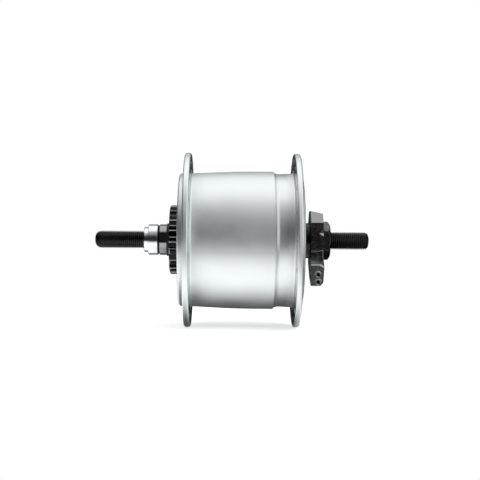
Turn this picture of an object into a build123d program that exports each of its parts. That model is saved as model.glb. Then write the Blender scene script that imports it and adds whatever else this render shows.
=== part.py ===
from build123d import *
from math import cos, degrees, radians, sin, sqrt
import os

os.makedirs("parts", exist_ok=True)

# Hub dynamo for a bicycle's front wheel, in millimetres.
# The spin axis is Y: +Y is the brake side, -Y the connector side, +Z up.
# The origin is the middle of the axle. Places along the axle are given as y.
# Inside the shell, magnets turn round a fixed stator whose leads run to the connector.

# Axle: solid, threaded M9 x 1 at both ends
axle_length = 140.0
thread_r = 4.5
thread_pitch = 1.0
thread_flank_drop = 0.325
thread_groove_width = 0.48
thread_groove_depth = 0.42
left_tip_round = 2.4
right_tip_round = 1.5
stator_seat_step = 0.5
axle_collar_height = 3.0
axle_collar_width = 2.5
lead_groove_width = 3.1
lead_groove_floor_r = 2.45

# Shell: one aluminium piece with the barrel, both spoke flanges and the brake side wall
flange_spacing = 55.2
flange_offset = 5.2
flange_thickness = 3.2
flange_height = 9.4
flange_rim_round = 0.9
flange_root_round = 1.6
barrel_crown_r = 35.1
barrel_left_drop = 0.9
barrel_right_drop = 1.2
barrel_wall = 2.2
bore_step_height = 1.5
crown_start_distance = 5.8
crown_slope_length = 19.0
right_band_width = 8.0
step_width = 2.0
end_wall_height = 2.8
end_wall_thickness = 4.0
end_wall_round = 1.2
spigot_wall = 1.2
hub_boss_wall = 2.6

# Spoke holes: 18 in each flange, for a 36 spoke wheel
spoke_edge_distance = 4.5
spoke_hole_r = 1.3
spoke_sink_depth = 0.45
spoke_count = 18

# Serrated boss that the roller brake slides on
boss_length = 4.7
boss_wall = 1.3
boss_tooth_height = 1.3
boss_lip = 0.5
boss_tooth_count = 18
boss_tip_share = 0.46
boss_root_share = 0.26
boss_chamfer = 0.7

# End cover on the connector side
cover_height = 1.6
cover_rim_drop = 1.0
cover_rim_round = 0.9
cover_plug_length = 3.4
cover_plate_thickness = 4.2
cover_seal_section_r = 0.9
cover_seal_side_room = 0.1
cover_dish_depth = 0.8
cover_rim_width = 5.9

# Cup and cone bearings, alike on both sides. The balls are 3/16 inch
ball_r = 2.38125
ball_count = 10
ball_circle_r = 10.6
left_bearing_depth = 7.5
right_bearing_depth = 7.4
race_gap = 0.04
cup_wall = 0.97875
cup_inboard = 4.0
cup_outboard = 3.0
cup_lip_drop = 0.4
shell_lip_height = 2.8
shell_lip_width = 1.2
cone_wall = 3.3
cone_race_drop = 0.8
cone_race_length = 3.4
cone_race_slope = 0.9
cone_tail = 1.4
cone_tail_drop = 1.8
retainer_inner_drop = 0.45
retainer_outer_rise = 1.9
retainer_start = 0.7
retainer_end = 3.0
retainer_gap = 0.07
seal_inboard = 4.4
seal_outboard = 6.9
seal_running_gap = 0.1
seal_lip_width = 0.7
seal_waist = 0.8

# Brake side dust cap, cone, washer and nut
left_dust_cap_gap = 0.4
left_dust_cap_width = 1.3
left_dust_cap_wall = 0.55
dust_cap_edge = 0.3
left_cone_flat_length = 3.6
left_cone_flat_depth = 0.45
left_cone_flat_turn = 9.0
left_washer_thickness = 0.8
left_washer_wall = 2.8
washer_clearance = 0.1
left_nut_length = 5.0
left_nut_wall = 3.25
left_nut_collar_length = 2.1
left_nut_collar_wall = 1.8
left_nut_edge = 0.35
nut_mouth_room = 0.15

# Connector side dust cap, washer and hexagon nut
right_dust_cap_gap = 0.4
right_dust_cap_width = 3.4
right_dust_cap_wall = 1.2
connector_thickness = 6.2
connector_washer_thickness = 0.5
connector_washer_wall = 3.7
right_nut_thickness = 3.5
right_nut_flats = 17.0
right_nut_face_drop = 0.4
right_nut_chamfer = 1.1

# Stator: two claw pole yokes clamped on the axle round a coil
stator_left_room = 11.8
stator_right_room = 16.2
yoke_plate = 2.5
pole_count = 28
pole_thickness = 1.8
pole_width_share = 0.66
pole_tip_gap = 1.2
pole_arm_length = 6.7
core_wall = 4.0
bobbin_wall = 1.0
bobbin_rim_gap = 0.7
bobbin_core_gap = 0.1
winding_rim_drop = 1.6
stator_washer_wall = 3.4
stator_washer_thickness = 1.0
stator_nut_thickness = 3.5
stator_nut_flats = 14.0

# Magnets: four ferrite arcs of seven poles in a steel ring
air_gap = 0.5
magnet_thickness = 3.6
magnet_arc_count = 4
magnet_arc_gap = 1.2
magnet_overhang = 0.6
yoke_ring_thickness = 1.9
yoke_ring_overhang = 2.0

# Leads from the coil to the connector
lead_r = 0.6
lead_spread = 0.85
lead_coil_depth = 1.9
lead_rise_depth = 3.2
lead_drop_length = 5.4
lead_bend_r = 3.0
lead_channel_clearance = 0.15
lead_window_width = 3.6
lead_window_height = 2.0

# Connector housing, seen along the axle. The side with the wire holes faces -X
housing_top_z = 15.1
housing_top_slope = 1.5
housing_shoulder_height = 6.1
housing_top_half_width = 6.0
housing_half_width = 12.8
housing_bulge = 0.5
housing_neck_height = 7.0
housing_seam_z = -12.2
housing_seam_slope = 1.2
housing_seam_bend_depth = 1.6
housing_edge_round = 0.5
housing_bore_clearance = 0.1

# Connector cap, which pulls off downward
cap_seam_gap = 0.4
cap_height = 10.5
cap_wire_face_step = 0.3
cap_far_step = 2.1
cap_far_mid_inset = 9.7
cap_far_mid_height = 4.0
cap_foot_width = 3.0
cap_chamfer_depth = 1.5
cap_chamfer_height = 1.8
cap_play = 0.15
cap_wire_room = 0.5
cap_end_room = 0.6
wire_hole_r = 1.15
wire_rim_width = 0.5
wire_rim_height = 0.35
wire_hole_edge_distance = 2.6
wire_hole_foot_distance = 2.0
wire_hole_spacing = 3.8
wire_hole_depth = 5.4
wire_riser_width = 1.4

# Tongue of the housing, which carries the two terminals into the cap
tongue_depth = 1.1
tongue_thickness = 2.2
tongue_wire_side_wall = 4.5
tongue_far_side_wall = 3.7
tongue_foot_width = 6.0
tongue_foot_wall = 4.1
tongue_corner_drop = 0.7
terminal_thickness = 0.4
terminal_width = 2.6
terminal_edge = 0.6
terminal_spacing = 1.2
terminal_tab_height = 0.8
terminal_tab_start_x = 0.3
terminal_b_step_drop = 2.0

# Overrun of cutting tools, past the face that they cut
overrun = 1.0

# Radii worked out from the driving dimensions
thread_pitch_r = thread_r - thread_flank_drop
stator_seat_r = thread_r + stator_seat_step
axle_collar_r = thread_r + axle_collar_height
cup_r = ball_circle_r + ball_r + race_gap + cup_wall
cup_lip_r = ball_circle_r - cup_lip_drop
shell_lip_r = cup_r - shell_lip_height
cone_r = thread_r + cone_wall
cone_race_r = ball_circle_r - cone_race_drop
cone_tail_r = cone_race_r - cone_tail_drop
retainer_inner_r = ball_circle_r - retainer_inner_drop
retainer_outer_r = ball_circle_r + retainer_outer_rise
left_dust_cap_r = cone_r + left_dust_cap_wall
right_dust_cap_r = cone_r + right_dust_cap_wall
spigot_r = cup_r + spigot_wall
boss_root_r = spigot_r + boss_wall
boss_tip_r = boss_root_r + boss_tooth_height
barrel_left_r = barrel_crown_r - barrel_left_drop
barrel_right_r = barrel_crown_r - barrel_right_drop
barrel_bore_r = barrel_right_r - barrel_wall
bore_step_r = barrel_bore_r - bore_step_height
end_wall_r = barrel_right_r
flange_r = barrel_crown_r + flange_height
spoke_circle_r = flange_r - spoke_edge_distance
cover_rim_r = barrel_right_r - cover_rim_drop
cover_dish_r = cover_rim_r - cover_rim_width
magnet_outer_r = barrel_bore_r - yoke_ring_thickness
magnet_inner_r = magnet_outer_r - magnet_thickness
pole_r = magnet_inner_r - air_gap
yoke_hub_r = pole_r - pole_arm_length
bobbin_r = pole_r - pole_thickness - bobbin_rim_gap
winding_r = bobbin_r - winding_rim_drop
core_r = stator_seat_r + core_wall
stator_washer_r = stator_seat_r + stator_washer_wall
lead_coil_r = core_r + bobbin_core_gap + bobbin_wall + lead_coil_depth
lead_axle_r = lead_groove_floor_r + lead_r + lead_channel_clearance
nut_mouth_r = thread_r + nut_mouth_room
nut_mouth_depth = nut_mouth_r - thread_pitch_r
left_nut_r = thread_r + left_nut_wall
left_nut_collar_r = thread_r + left_nut_collar_wall
left_washer_r = thread_r + left_washer_wall
connector_washer_r = thread_r + connector_washer_wall
right_nut_chamfer_r = right_nut_flats / 2 - right_nut_face_drop
wire_rim_r = wire_hole_r + wire_rim_width

# Places along the axle, from the flanges outward
axle_half = axle_length / 2
left_flange_y = flange_spacing / 2 - flange_offset
right_flange_y = left_flange_y - flange_spacing
left_flange_in = left_flange_y - flange_thickness / 2
left_flange_out = left_flange_y + flange_thickness / 2
right_flange_in = right_flange_y + flange_thickness / 2
right_flange_out = right_flange_y - flange_thickness / 2
crown_start_y = left_flange_in - crown_start_distance
crown_end_y = crown_start_y - crown_slope_length
crown_edge_y = right_flange_in + right_band_width + step_width
end_wall_y = left_flange_out + end_wall_height
boss_face_y = end_wall_y + boss_length
left_row_y = boss_face_y - left_bearing_depth
left_dust_cap_y = boss_face_y + left_dust_cap_gap
left_cone_neck_y = left_dust_cap_y + left_dust_cap_width
left_cone_face_y = left_cone_neck_y + left_cone_flat_length
left_nut_seat_y = left_cone_face_y + left_washer_thickness
left_nut_step_y = left_nut_seat_y + left_nut_length
left_nut_face_y = left_nut_step_y + left_nut_collar_length
cover_face_y = right_flange_out - cover_height
cover_seal_y = right_flange_out + cover_plug_length / 2
right_row_y = cover_face_y + right_bearing_depth
right_dust_cap_in = cover_face_y - right_dust_cap_gap
connector_inner_y = right_dust_cap_in - right_dust_cap_width
connector_outer_y = connector_inner_y - connector_thickness
right_nut_seat_y = connector_outer_y - connector_washer_thickness
right_nut_face_y = right_nut_seat_y - right_nut_thickness
stator_left_y = left_flange_in - stator_left_room
stator_right_y = right_flange_in + stator_right_room
core_left_y = stator_left_y - yoke_plate
core_right_y = stator_right_y + yoke_plate
stator_nut_seat_y = stator_left_y + stator_washer_thickness
stator_nut_face_y = stator_nut_seat_y + stator_nut_thickness
magnet_left_y = stator_left_y + magnet_overhang
magnet_right_y = stator_right_y - magnet_overhang
yoke_ring_left_y = stator_left_y + yoke_ring_overhang
yoke_ring_right_y = stator_right_y - yoke_ring_overhang
lead_drop_y = stator_right_y - axle_collar_width - lead_bend_r
lead_rise_y = connector_inner_y - lead_rise_depth
housing_seam_bend_y = connector_outer_y + housing_seam_bend_depth
cap_chamfer_y = connector_outer_y + cap_chamfer_depth
wire_hole_y = connector_outer_y + wire_hole_edge_distance
tongue_inner_y = connector_inner_y - tongue_depth
tongue_outer_y = tongue_inner_y - tongue_thickness

# Places in the connector, seen along the axle
housing_top_outer_z = housing_top_z - housing_top_slope
housing_shoulder_z = housing_top_z - housing_shoulder_height
housing_seam_outer_z = housing_seam_z - housing_seam_slope
housing_neck_z = housing_seam_z + housing_neck_height
housing_side_x = housing_half_width - housing_bulge
cap_bottom_z = housing_seam_z - cap_height
cap_wire_face_x = -housing_half_width + cap_wire_face_step
cap_foot_x = cap_wire_face_x + cap_foot_width
cap_far_top_x = housing_half_width - cap_far_step
cap_far_mid_x = cap_far_top_x - cap_far_mid_inset
cap_far_mid_z = cap_bottom_z + cap_far_mid_height
cap_chamfer_z = cap_bottom_z + cap_chamfer_height
wire_hole_lower_z = cap_bottom_z + wire_hole_foot_distance
wire_hole_upper_z = wire_hole_lower_z + wire_hole_spacing
tongue_wire_side_x = cap_wire_face_x + tongue_wire_side_wall
tongue_far_side_x = cap_far_top_x - tongue_far_side_wall
tongue_foot_x = tongue_wire_side_x + tongue_foot_width
tongue_end_z = cap_bottom_z + tongue_foot_wall
tongue_corner_z = housing_seam_z - tongue_corner_drop
lead_end_z = -lead_axle_r - lead_drop_length
terminal_a_x = tongue_wire_side_x + terminal_edge
terminal_b_x = terminal_a_x + terminal_width + terminal_spacing
terminal_a_end_z = tongue_end_z + terminal_edge
terminal_b_end_z = terminal_a_end_z + terminal_tab_height
terminal_b_step_z = lead_end_z - terminal_b_step_drop


def turned(points):
    """Solid of revolution about the spin axis, from (radius, y) corners."""
    return revolve(make_face(Polyline(*points, close=True)), Axis.Y)


def rounded_corners(section, corners, radius):
    """Round the corners of a half section that lie at the given (radius, y) places."""
    nearest = [section.vertices().sort_by_distance((r, y, 0))[0] for r, y in corners]
    return fillet(nearest, radius)


def tube(outer_r, inner_r, y_from, y_to):
    """Plain ring about the spin axis."""
    return turned([(inner_r, y_from), (outer_r, y_from), (outer_r, y_to), (inner_r, y_to)])


def along_axle(outline, y_high, y_low):
    """Prism of an (x, z) outline between two places on the axle."""
    start = Plane(origin=(0, y_high, 0), x_dir=(1, 0, 0), z_dir=(0, -1, 0))
    return extrude(start * outline, y_high - y_low)


def across_axle(outline, x_half):
    """Prism of a (y, z) outline that reaches x_half to each side."""
    return extrude(Plane.YZ * outline, x_half, both=True)


def box_between(x_pair, y_pair, z_pair):
    """Box from its lowest and highest places along each axis."""
    size = (max(x_pair) - min(x_pair), max(y_pair) - min(y_pair), max(z_pair) - min(z_pair))
    corner = Pos(min(x_pair), min(y_pair), min(z_pair))
    return corner * Box(*size, align=(Align.MIN, Align.MIN, Align.MIN))


def rod_along_x(radius, x_pair, y, z):
    """Cylinder along X between two places."""
    length = max(x_pair) - min(x_pair)
    start = Plane(origin=(min(x_pair), y, z), x_dir=(0, 1, 0), z_dir=(1, 0, 0))
    return extrude(start * Circle(radius), length)


def ring_places(radius, count, y, phase):
    """Positions of equal pieces round the spin axis, the first at phase degrees from -X."""
    turns = [radians(phase + 360 * i / count) for i in range(count)]
    return [Pos(-radius * cos(t), y, radius * sin(t)) for t in turns]


def sector(radius, width_angle, middle_angle):
    """Triangle from the axis, wide enough to cut one sector out of a ring."""
    half = radians(width_angle / 2)
    middle = radians(middle_angle)
    reach = 2 * radius
    ends = [(reach * cos(middle + s * half), reach * sin(middle + s * half)) for s in (-1, 1)]
    return make_face(Polyline((0, 0), *ends, close=True))


def joined(solids):
    """Separate solids kept as one group."""
    return Compound(children=list(solids))


def hexagon(flats):
    """Hexagon of a given width across flats, with a flat facing -X."""
    return RegularPolygon(flats / sqrt(3), 6, rotation=30)


def threaded_end(seat_y, end_y, tip_round):
    """Corners of an exposed threaded end, from its seat out to the square tip."""
    out = 1 if end_y > seat_y else -1
    crest_end = end_y - out * tip_round
    turns = int((abs(crest_end - seat_y) - thread_groove_width) / thread_pitch)
    corners = [(thread_pitch_r, seat_y), (thread_r, seat_y)]
    for i in range(1, turns + 1):
        middle = seat_y + out * i * thread_pitch
        corners.append((thread_r, middle - out * thread_groove_width / 2))
        corners.append((thread_r - thread_groove_depth, middle))
        corners.append((thread_r, middle + out * thread_groove_width / 2))
    corners.append((thread_r, end_y))
    return corners


def make_axle():
    """Axle with a seat and a collar for the stator, and the lead groove underneath."""
    left = threaded_end(left_nut_face_y, axle_half, left_tip_round)
    right = threaded_end(right_nut_face_y, -axle_half, right_tip_round)
    seat_left = stator_left_y - stator_washer_thickness / 2
    collar_right = stator_right_y - axle_collar_width
    middle = [
        (thread_pitch_r, right_nut_seat_y),
        (thread_r, right_nut_seat_y),
        (thread_r, connector_inner_y),
        (thread_pitch_r, connector_inner_y),
        (thread_pitch_r, collar_right),
        (axle_collar_r, collar_right),
        (axle_collar_r, stator_right_y),
        (stator_seat_r, stator_right_y),
        (stator_seat_r, seat_left),
        (thread_pitch_r, seat_left),
        (thread_pitch_r, left_cone_face_y),
        (thread_r, left_cone_face_y),
        (thread_r, left_nut_seat_y),
        (thread_pitch_r, left_nut_seat_y),
    ]
    corners = [(0, -axle_half)] + right[::-1] + middle + left + [(0, axle_half)]
    groove = box_between(
        (-lead_groove_width / 2, lead_groove_width / 2),
        (collar_right, lead_rise_y - lead_r - lead_channel_clearance),
        (-axle_collar_r, -lead_groove_floor_r),
    )
    section = make_face(Polyline(*corners, close=True))
    section = rounded_corners(section, [(thread_r, axle_half)], left_tip_round)
    section = rounded_corners(section, [(thread_r, -axle_half)], right_tip_round)
    return revolve(section, Axis.Y) - groove


def make_left_lock_nut():
    """Round nut with a stepped collar and a countersunk mouth, which locks the brake side cone."""
    return turned([
        (thread_pitch_r, left_nut_seat_y),
        (left_nut_r - left_nut_edge, left_nut_seat_y),
        (left_nut_r, left_nut_seat_y + left_nut_edge),
        (left_nut_r, left_nut_step_y - left_nut_edge),
        (left_nut_r - left_nut_edge, left_nut_step_y),
        (left_nut_collar_r, left_nut_step_y),
        (left_nut_collar_r, left_nut_face_y - left_nut_edge),
        (left_nut_collar_r - left_nut_edge, left_nut_face_y),
        (nut_mouth_r, left_nut_face_y),
        (thread_pitch_r, left_nut_face_y - nut_mouth_depth),
    ])


def make_left_washer():
    """Flat washer between the lock nut and the cone."""
    return tube(left_washer_r, thread_r + washer_clearance, left_cone_face_y, left_nut_seat_y)


def on_row(points, row_y, side):
    """Corners given as (radius, distance outboard of the ball row), as (radius, y)."""
    return [(r, row_y + side * out) for r, out in points]


def race_torus(row_y):
    """Ring that the balls sweep, with the running gap."""
    return Pos(0, row_y, 0) * Rot(90, 0, 0) * Torus(ball_circle_r, ball_r + race_gap)


def make_cone(row_y, side, face_y):
    """Bearing cone, from its face at the nut or connector in to its race."""
    face = side * (face_y - row_y)
    body = turned(on_row([
        (thread_pitch_r, face),
        (cone_r, face),
        (cone_r, cone_race_length + cone_race_slope),
        (cone_race_r, cone_race_length),
        (cone_race_r, 0),
        (cone_tail_r, 0),
        (cone_tail_r, -cone_tail),
        (thread_pitch_r, -cone_tail),
    ], row_y, side))
    return body - race_torus(row_y)


def make_left_cone():
    """Brake side cone, with two flats for a cone spanner."""
    cone = make_cone(left_row_y, 1, left_cone_face_y)
    flat_x = cone_r - left_cone_flat_depth
    reach = flat_x + cone_r
    places = (left_cone_neck_y, left_cone_face_y + overrun)
    for side in (-1, 1):
        cutter = box_between((side * flat_x, side * reach), places, (-reach, reach))
        cone -= Rot(0, left_cone_flat_turn, 0) * cutter
    return cone


def make_dust_cap(radius, cone_side_y, hub_side_y, side):
    """Ring pressed on the cone, which covers the bearing's mouth."""
    edge = side * dust_cap_edge
    return turned([
        (cone_r, hub_side_y),
        (radius, hub_side_y),
        (radius, cone_side_y - edge),
        (radius - dust_cap_edge, cone_side_y),
        (cone_r, cone_side_y),
    ])


def make_cup(row_y, side):
    """Bearing cup pressed into the shell or the cover."""
    bore = ball_circle_r + ball_r + race_gap
    body = turned(on_row([
        (cup_lip_r, -cup_inboard),
        (cup_r, -cup_inboard),
        (cup_r, cup_outboard),
        (bore, cup_outboard),
        (bore, 0),
        (cup_lip_r, 0),
    ], row_y, side))
    return body - race_torus(row_y)


def ball_places(row_y):
    """Centres of one bearing's balls."""
    return ring_places(ball_circle_r, ball_count, row_y, 0)


def make_balls(row_y):
    """One bearing's balls, as separate solids."""
    return joined(place * Sphere(ball_r) for place in ball_places(row_y))


def make_retainer(row_y, side):
    """Crown cage that keeps the balls evenly spaced."""
    ring = turned(on_row([
        (retainer_inner_r, retainer_start),
        (retainer_outer_r, retainer_start),
        (retainer_outer_r, retainer_end),
        (retainer_inner_r, retainer_end),
    ], row_y, side))
    pockets = [place * Sphere(ball_r + retainer_gap) for place in ball_places(row_y)]
    return ring - pockets


def make_seal(row_y, side):
    """Rubber seal in the bearing bore, with a lip that runs round the cone."""
    lip_r = cone_r + seal_running_gap
    return turned(on_row([
        (lip_r, seal_inboard),
        (lip_r, seal_inboard + seal_lip_width),
        (lip_r + seal_waist, seal_inboard + seal_lip_width + seal_waist),
        (lip_r + seal_waist, seal_outboard - seal_lip_width),
        (lip_r, seal_outboard),
        (cup_r, seal_outboard),
        (cup_r, seal_inboard),
    ], row_y, side))


def crown_curve():
    """Outer line of the barrel's gentle swell, as two arcs that meet halfway."""
    start = (barrel_left_r, crown_start_y)
    end = (barrel_crown_r, crown_end_y)
    middle = ((start[0] + end[0]) / 2, (start[1] + end[1]) / 2)
    first = TangentArc(start, middle, tangent=(0, -1))
    second = TangentArc(middle, end, tangent=first % 1)
    return first + second


def shell_outline():
    """Half section of the shell's outside and inside."""
    lip_y = left_row_y - cup_inboard
    spigot_end = boss_face_y - boss_lip
    inner_hub_r = cup_r + hub_boss_wall
    wall_in = end_wall_y - end_wall_thickness
    before_crown = [
        (cup_r, lip_y),
        (cup_r, spigot_end),
        (spigot_r, spigot_end),
        (spigot_r, end_wall_y),
        (end_wall_r, end_wall_y),
        (end_wall_r, left_flange_out),
        (flange_r, left_flange_out),
        (flange_r, left_flange_in),
        (barrel_left_r, left_flange_in),
        (barrel_left_r, crown_start_y),
    ]
    after_crown = [
        (barrel_crown_r, crown_end_y),
        (barrel_crown_r, crown_edge_y),
        (barrel_right_r, crown_edge_y - step_width),
        (barrel_right_r, right_flange_in),
        (flange_r, right_flange_in),
        (flange_r, right_flange_out),
        (barrel_bore_r, right_flange_out),
        (barrel_bore_r, yoke_ring_left_y),
        (bore_step_r, yoke_ring_left_y),
        (bore_step_r, wall_in),
        (inner_hub_r, wall_in),
        (inner_hub_r, lip_y - shell_lip_width),
        (shell_lip_r, lip_y - shell_lip_width),
        (shell_lip_r, lip_y),
        (cup_r, lip_y),
    ]
    return make_face(Polyline(*before_crown) + crown_curve() + Polyline(*after_crown))


def spoke_holes(flange_y, phase):
    """Drill for one flange's spoke holes, countersunk on both faces."""
    half = flange_thickness / 2
    sink_r = spoke_hole_r + spoke_sink_depth
    drill = turned([
        (0, -half - overrun),
        (sink_r, -half - overrun),
        (sink_r, -half),
        (spoke_hole_r, -half + spoke_sink_depth),
        (spoke_hole_r, half - spoke_sink_depth),
        (sink_r, half),
        (sink_r, half + overrun),
        (0, half + overrun),
    ])
    return [place * drill for place in ring_places(spoke_circle_r, spoke_count, flange_y, phase)]


def make_hub_shell():
    """Shell with barrel, flanges, brake side wall, spigot and cup seat."""
    section = shell_outline()
    rims = [(flange_r, y) for y in (left_flange_in, left_flange_out, right_flange_in, right_flange_out)]
    section = rounded_corners(section, rims, flange_rim_round)
    roots = [(barrel_left_r, left_flange_in), (barrel_right_r, right_flange_in)]
    section = rounded_corners(section, roots, min(flange_root_round, flange_thickness))
    end_round = min(end_wall_round, end_wall_thickness / 2)
    section = rounded_corners(section, [(end_wall_r, end_wall_y)], end_round)
    half_pitch = 180 / spoke_count
    shell = revolve(section, Axis.Y)
    shell -= spoke_holes(left_flange_y, half_pitch)
    shell -= spoke_holes(right_flange_y, 0)
    return shell


def make_brake_spline_boss():
    """Serrated steel ring that the brake unit slides on, over the shell's spigot."""
    pitch = 360 / boss_tooth_count
    tip = radians(pitch * boss_tip_share / 2)
    root = radians(pitch * (1 - boss_root_share) / 2)
    tooth = ((boss_root_r, -root), (boss_tip_r, -tip), (boss_tip_r, tip), (boss_root_r, root))
    corners = []
    for i in range(boss_tooth_count):
        middle = radians(pitch * i)
        for radius, turn in tooth:
            corners.append((-radius * cos(middle + turn), radius * sin(middle + turn)))
    teeth = along_axle(make_face(Polyline(*corners, close=True)), boss_face_y, end_wall_y)
    envelope = turned([
        (0, end_wall_y),
        (boss_tip_r, end_wall_y),
        (boss_tip_r, boss_face_y - boss_chamfer),
        (boss_tip_r - boss_chamfer, boss_face_y),
        (0, boss_face_y),
    ])
    spigot = turned([
        (0, end_wall_y - overrun),
        (spigot_r, end_wall_y - overrun),
        (spigot_r, boss_face_y - boss_lip),
        (cup_r, boss_face_y - boss_lip),
        (cup_r, boss_face_y + overrun),
        (0, boss_face_y + overrun),
    ])
    return (teeth & envelope) - spigot


def make_right_end_cover():
    """Cover screwed into the shell, which carries the connector side cup."""
    lip_y = right_row_y + cup_inboard
    plug_in = right_flange_out + cover_plug_length
    plate_in = cover_face_y + cover_plate_thickness
    hub_r = cup_r + hub_boss_wall
    groove_floor_r = barrel_bore_r - 2 * cover_seal_section_r
    groove_half = cover_seal_section_r + cover_seal_side_room
    section = make_face(Polyline(
        (cup_r, cover_face_y),
        (hub_r, cover_face_y),
        (hub_r + cover_dish_depth, cover_face_y + cover_dish_depth),
        (cover_dish_r, cover_face_y + cover_dish_depth),
        (cover_dish_r + cover_dish_depth, cover_face_y),
        (cover_rim_r, cover_face_y),
        (cover_rim_r, right_flange_out),
        (barrel_bore_r, right_flange_out),
        (barrel_bore_r, cover_seal_y - groove_half),
        (groove_floor_r, cover_seal_y - groove_half),
        (groove_floor_r, cover_seal_y + groove_half),
        (barrel_bore_r, cover_seal_y + groove_half),
        (barrel_bore_r, plug_in),
        (barrel_bore_r - hub_boss_wall, plug_in),
        (barrel_bore_r - hub_boss_wall, plate_in),
        (hub_r, plate_in),
        (hub_r, lip_y + shell_lip_width),
        (shell_lip_r, lip_y + shell_lip_width),
        (shell_lip_r, lip_y),
        (cup_r, lip_y),
        close=True,
    ))
    section = rounded_corners(section, [(cover_rim_r, cover_face_y)], cover_rim_round)
    return revolve(section, Axis.Y)


def make_cover_seal():
    """Rubber ring in the cover's groove, against the shell's bore."""
    ring = Torus(barrel_bore_r - cover_seal_section_r, cover_seal_section_r)
    return Pos(0, cover_seal_y, 0) * Rot(90, 0, 0) * ring


def make_magnet_yoke_ring():
    """Steel ring that backs the magnets, pressed into the barrel."""
    return tube(barrel_bore_r, magnet_outer_r, yoke_ring_right_y, yoke_ring_left_y)


def make_magnet_arcs():
    """Ferrite arcs with a small gap between neighbours."""
    ring = Circle(magnet_outer_r) - Circle(magnet_inner_r)
    pitch = 360 / magnet_arc_count
    gap_angle = degrees(magnet_arc_gap / magnet_inner_r)
    arcs = [ring & sector(magnet_outer_r, pitch - gap_angle, pitch * i) for i in range(magnet_arc_count)]
    return joined(along_axle(arc, magnet_left_y, magnet_right_y) for arc in arcs)


def pole_sectors(phase):
    """Sectors of one yoke's claws, every second pole of the stator."""
    pitch = 720 / pole_count
    return [sector(pole_r, pitch * pole_width_share / 2, pitch * i + phase) for i in range(pole_count // 2)]


def make_pole_yoke(outer_y, side, phase):
    """Claw pole yoke: a star plate whose arms turn over the coil."""
    inner_y = outer_y - side * yoke_plate
    far_y = stator_right_y if side > 0 else stator_left_y
    tip_y = far_y + side * (yoke_plate + pole_tip_gap)
    rim = [Circle(pole_r) & cut for cut in pole_sectors(phase)]
    claws = [(Circle(pole_r) - Circle(pole_r - pole_thickness)) & cut for cut in pole_sectors(phase)]
    yoke = along_axle(Circle(yoke_hub_r), max(outer_y, inner_y), min(outer_y, inner_y))
    for plate_arm, claw in zip(rim, claws):
        yoke += along_axle(plate_arm, max(outer_y, inner_y), min(outer_y, inner_y))
        yoke += along_axle(claw, max(outer_y, tip_y), min(outer_y, tip_y))
    bore = tube(stator_seat_r, 0, stator_left_y + overrun, stator_right_y - overrun)
    return yoke - bore


def lead_window(y_from, y_to):
    """Opening under the axle through which the coil's leads pass."""
    half = lead_window_width / 2
    return box_between(
        (-half, half),
        (y_from, y_to),
        (-lead_coil_r - lead_window_height / 2, -lead_coil_r + lead_window_height / 2),
    )


def make_right_pole_yoke():
    """Connector side yoke, with the window for the leads."""
    window = lead_window(stator_right_y - overrun, core_right_y + overrun)
    return make_pole_yoke(stator_right_y, -1, 360 / pole_count) - window


def make_stator_core():
    """Iron tube on the axle that joins the two yokes inside the coil."""
    return tube(core_r, stator_seat_r, core_right_y, core_left_y)


def make_coil_bobbin():
    """Plastic spool between the yokes."""
    inner = core_r + bobbin_core_gap
    spool = turned([
        (inner, core_right_y),
        (bobbin_r, core_right_y),
        (bobbin_r, core_right_y + bobbin_wall),
        (inner + bobbin_wall, core_right_y + bobbin_wall),
        (inner + bobbin_wall, core_left_y - bobbin_wall),
        (bobbin_r, core_left_y - bobbin_wall),
        (bobbin_r, core_left_y),
        (inner, core_left_y),
    ])
    return spool - lead_window(core_right_y - overrun, core_right_y + bobbin_wall)


def make_coil_winding():
    """The copper winding, as the ring that its turns fill."""
    inner = core_r + bobbin_core_gap + bobbin_wall
    return tube(winding_r, inner, core_right_y + bobbin_wall, core_left_y - bobbin_wall)


def make_stator_washer():
    """Washer between the stator and its clamping nut."""
    return tube(stator_washer_r, stator_seat_r, stator_left_y, stator_nut_seat_y)


def make_stator_nut():
    """Hexagon nut that clamps the stator against the axle's collar."""
    nut = along_axle(hexagon(stator_nut_flats), stator_nut_face_y, stator_nut_seat_y)
    return nut - tube(thread_pitch_r, 0, stator_nut_seat_y - overrun, stator_nut_face_y + overrun)


def lead_route(x):
    """Route of one lead: out of the coil, in to the axle's groove, along it and down to its terminal."""
    coil_end_y = core_right_y + bobbin_wall
    corners = [
        (x, coil_end_y, -lead_coil_r),
        (x, lead_drop_y, -lead_coil_r),
        (x, lead_drop_y, -lead_axle_r),
        (x, lead_rise_y, -lead_axle_r),
        (x, lead_rise_y, lead_end_z),
    ]
    return FilletPolyline(*corners, radius=lead_bend_r)


def make_lead_wires():
    """The two insulated leads."""
    leads = []
    for x in (-lead_spread, lead_spread):
        route = lead_route(x)
        leads.append(sweep(Plane(route @ 0, z_dir=route % 0) * Circle(lead_r), path=route))
    return joined(leads)


def make_terminals():
    """Two brass strips on the tongue, each with a tab to its lead."""
    back_y = tongue_outer_y
    face_y = tongue_outer_y - terminal_thickness
    tab_y = (lead_rise_y + lead_r, face_y)
    tab_end_z = lead_end_z - terminal_tab_height
    a_side_x = terminal_a_x + terminal_width
    b_side_x = terminal_b_x + terminal_width
    lead_side_x = lead_spread + lead_r
    step_end_z = terminal_b_step_z - terminal_tab_height
    first = box_between((terminal_a_x, -terminal_tab_start_x), tab_y, (lead_end_z, tab_end_z))
    first += box_between((terminal_a_x, a_side_x), (back_y, face_y), (tab_end_z, terminal_a_end_z))
    second = box_between((terminal_tab_start_x, lead_side_x), tab_y, (lead_end_z, step_end_z))
    second += box_between((terminal_b_x, lead_side_x), tab_y, (terminal_b_step_z, step_end_z))
    second += box_between((terminal_b_x, b_side_x), (back_y, face_y), (step_end_z, terminal_b_end_z))
    return [first, second]


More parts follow.
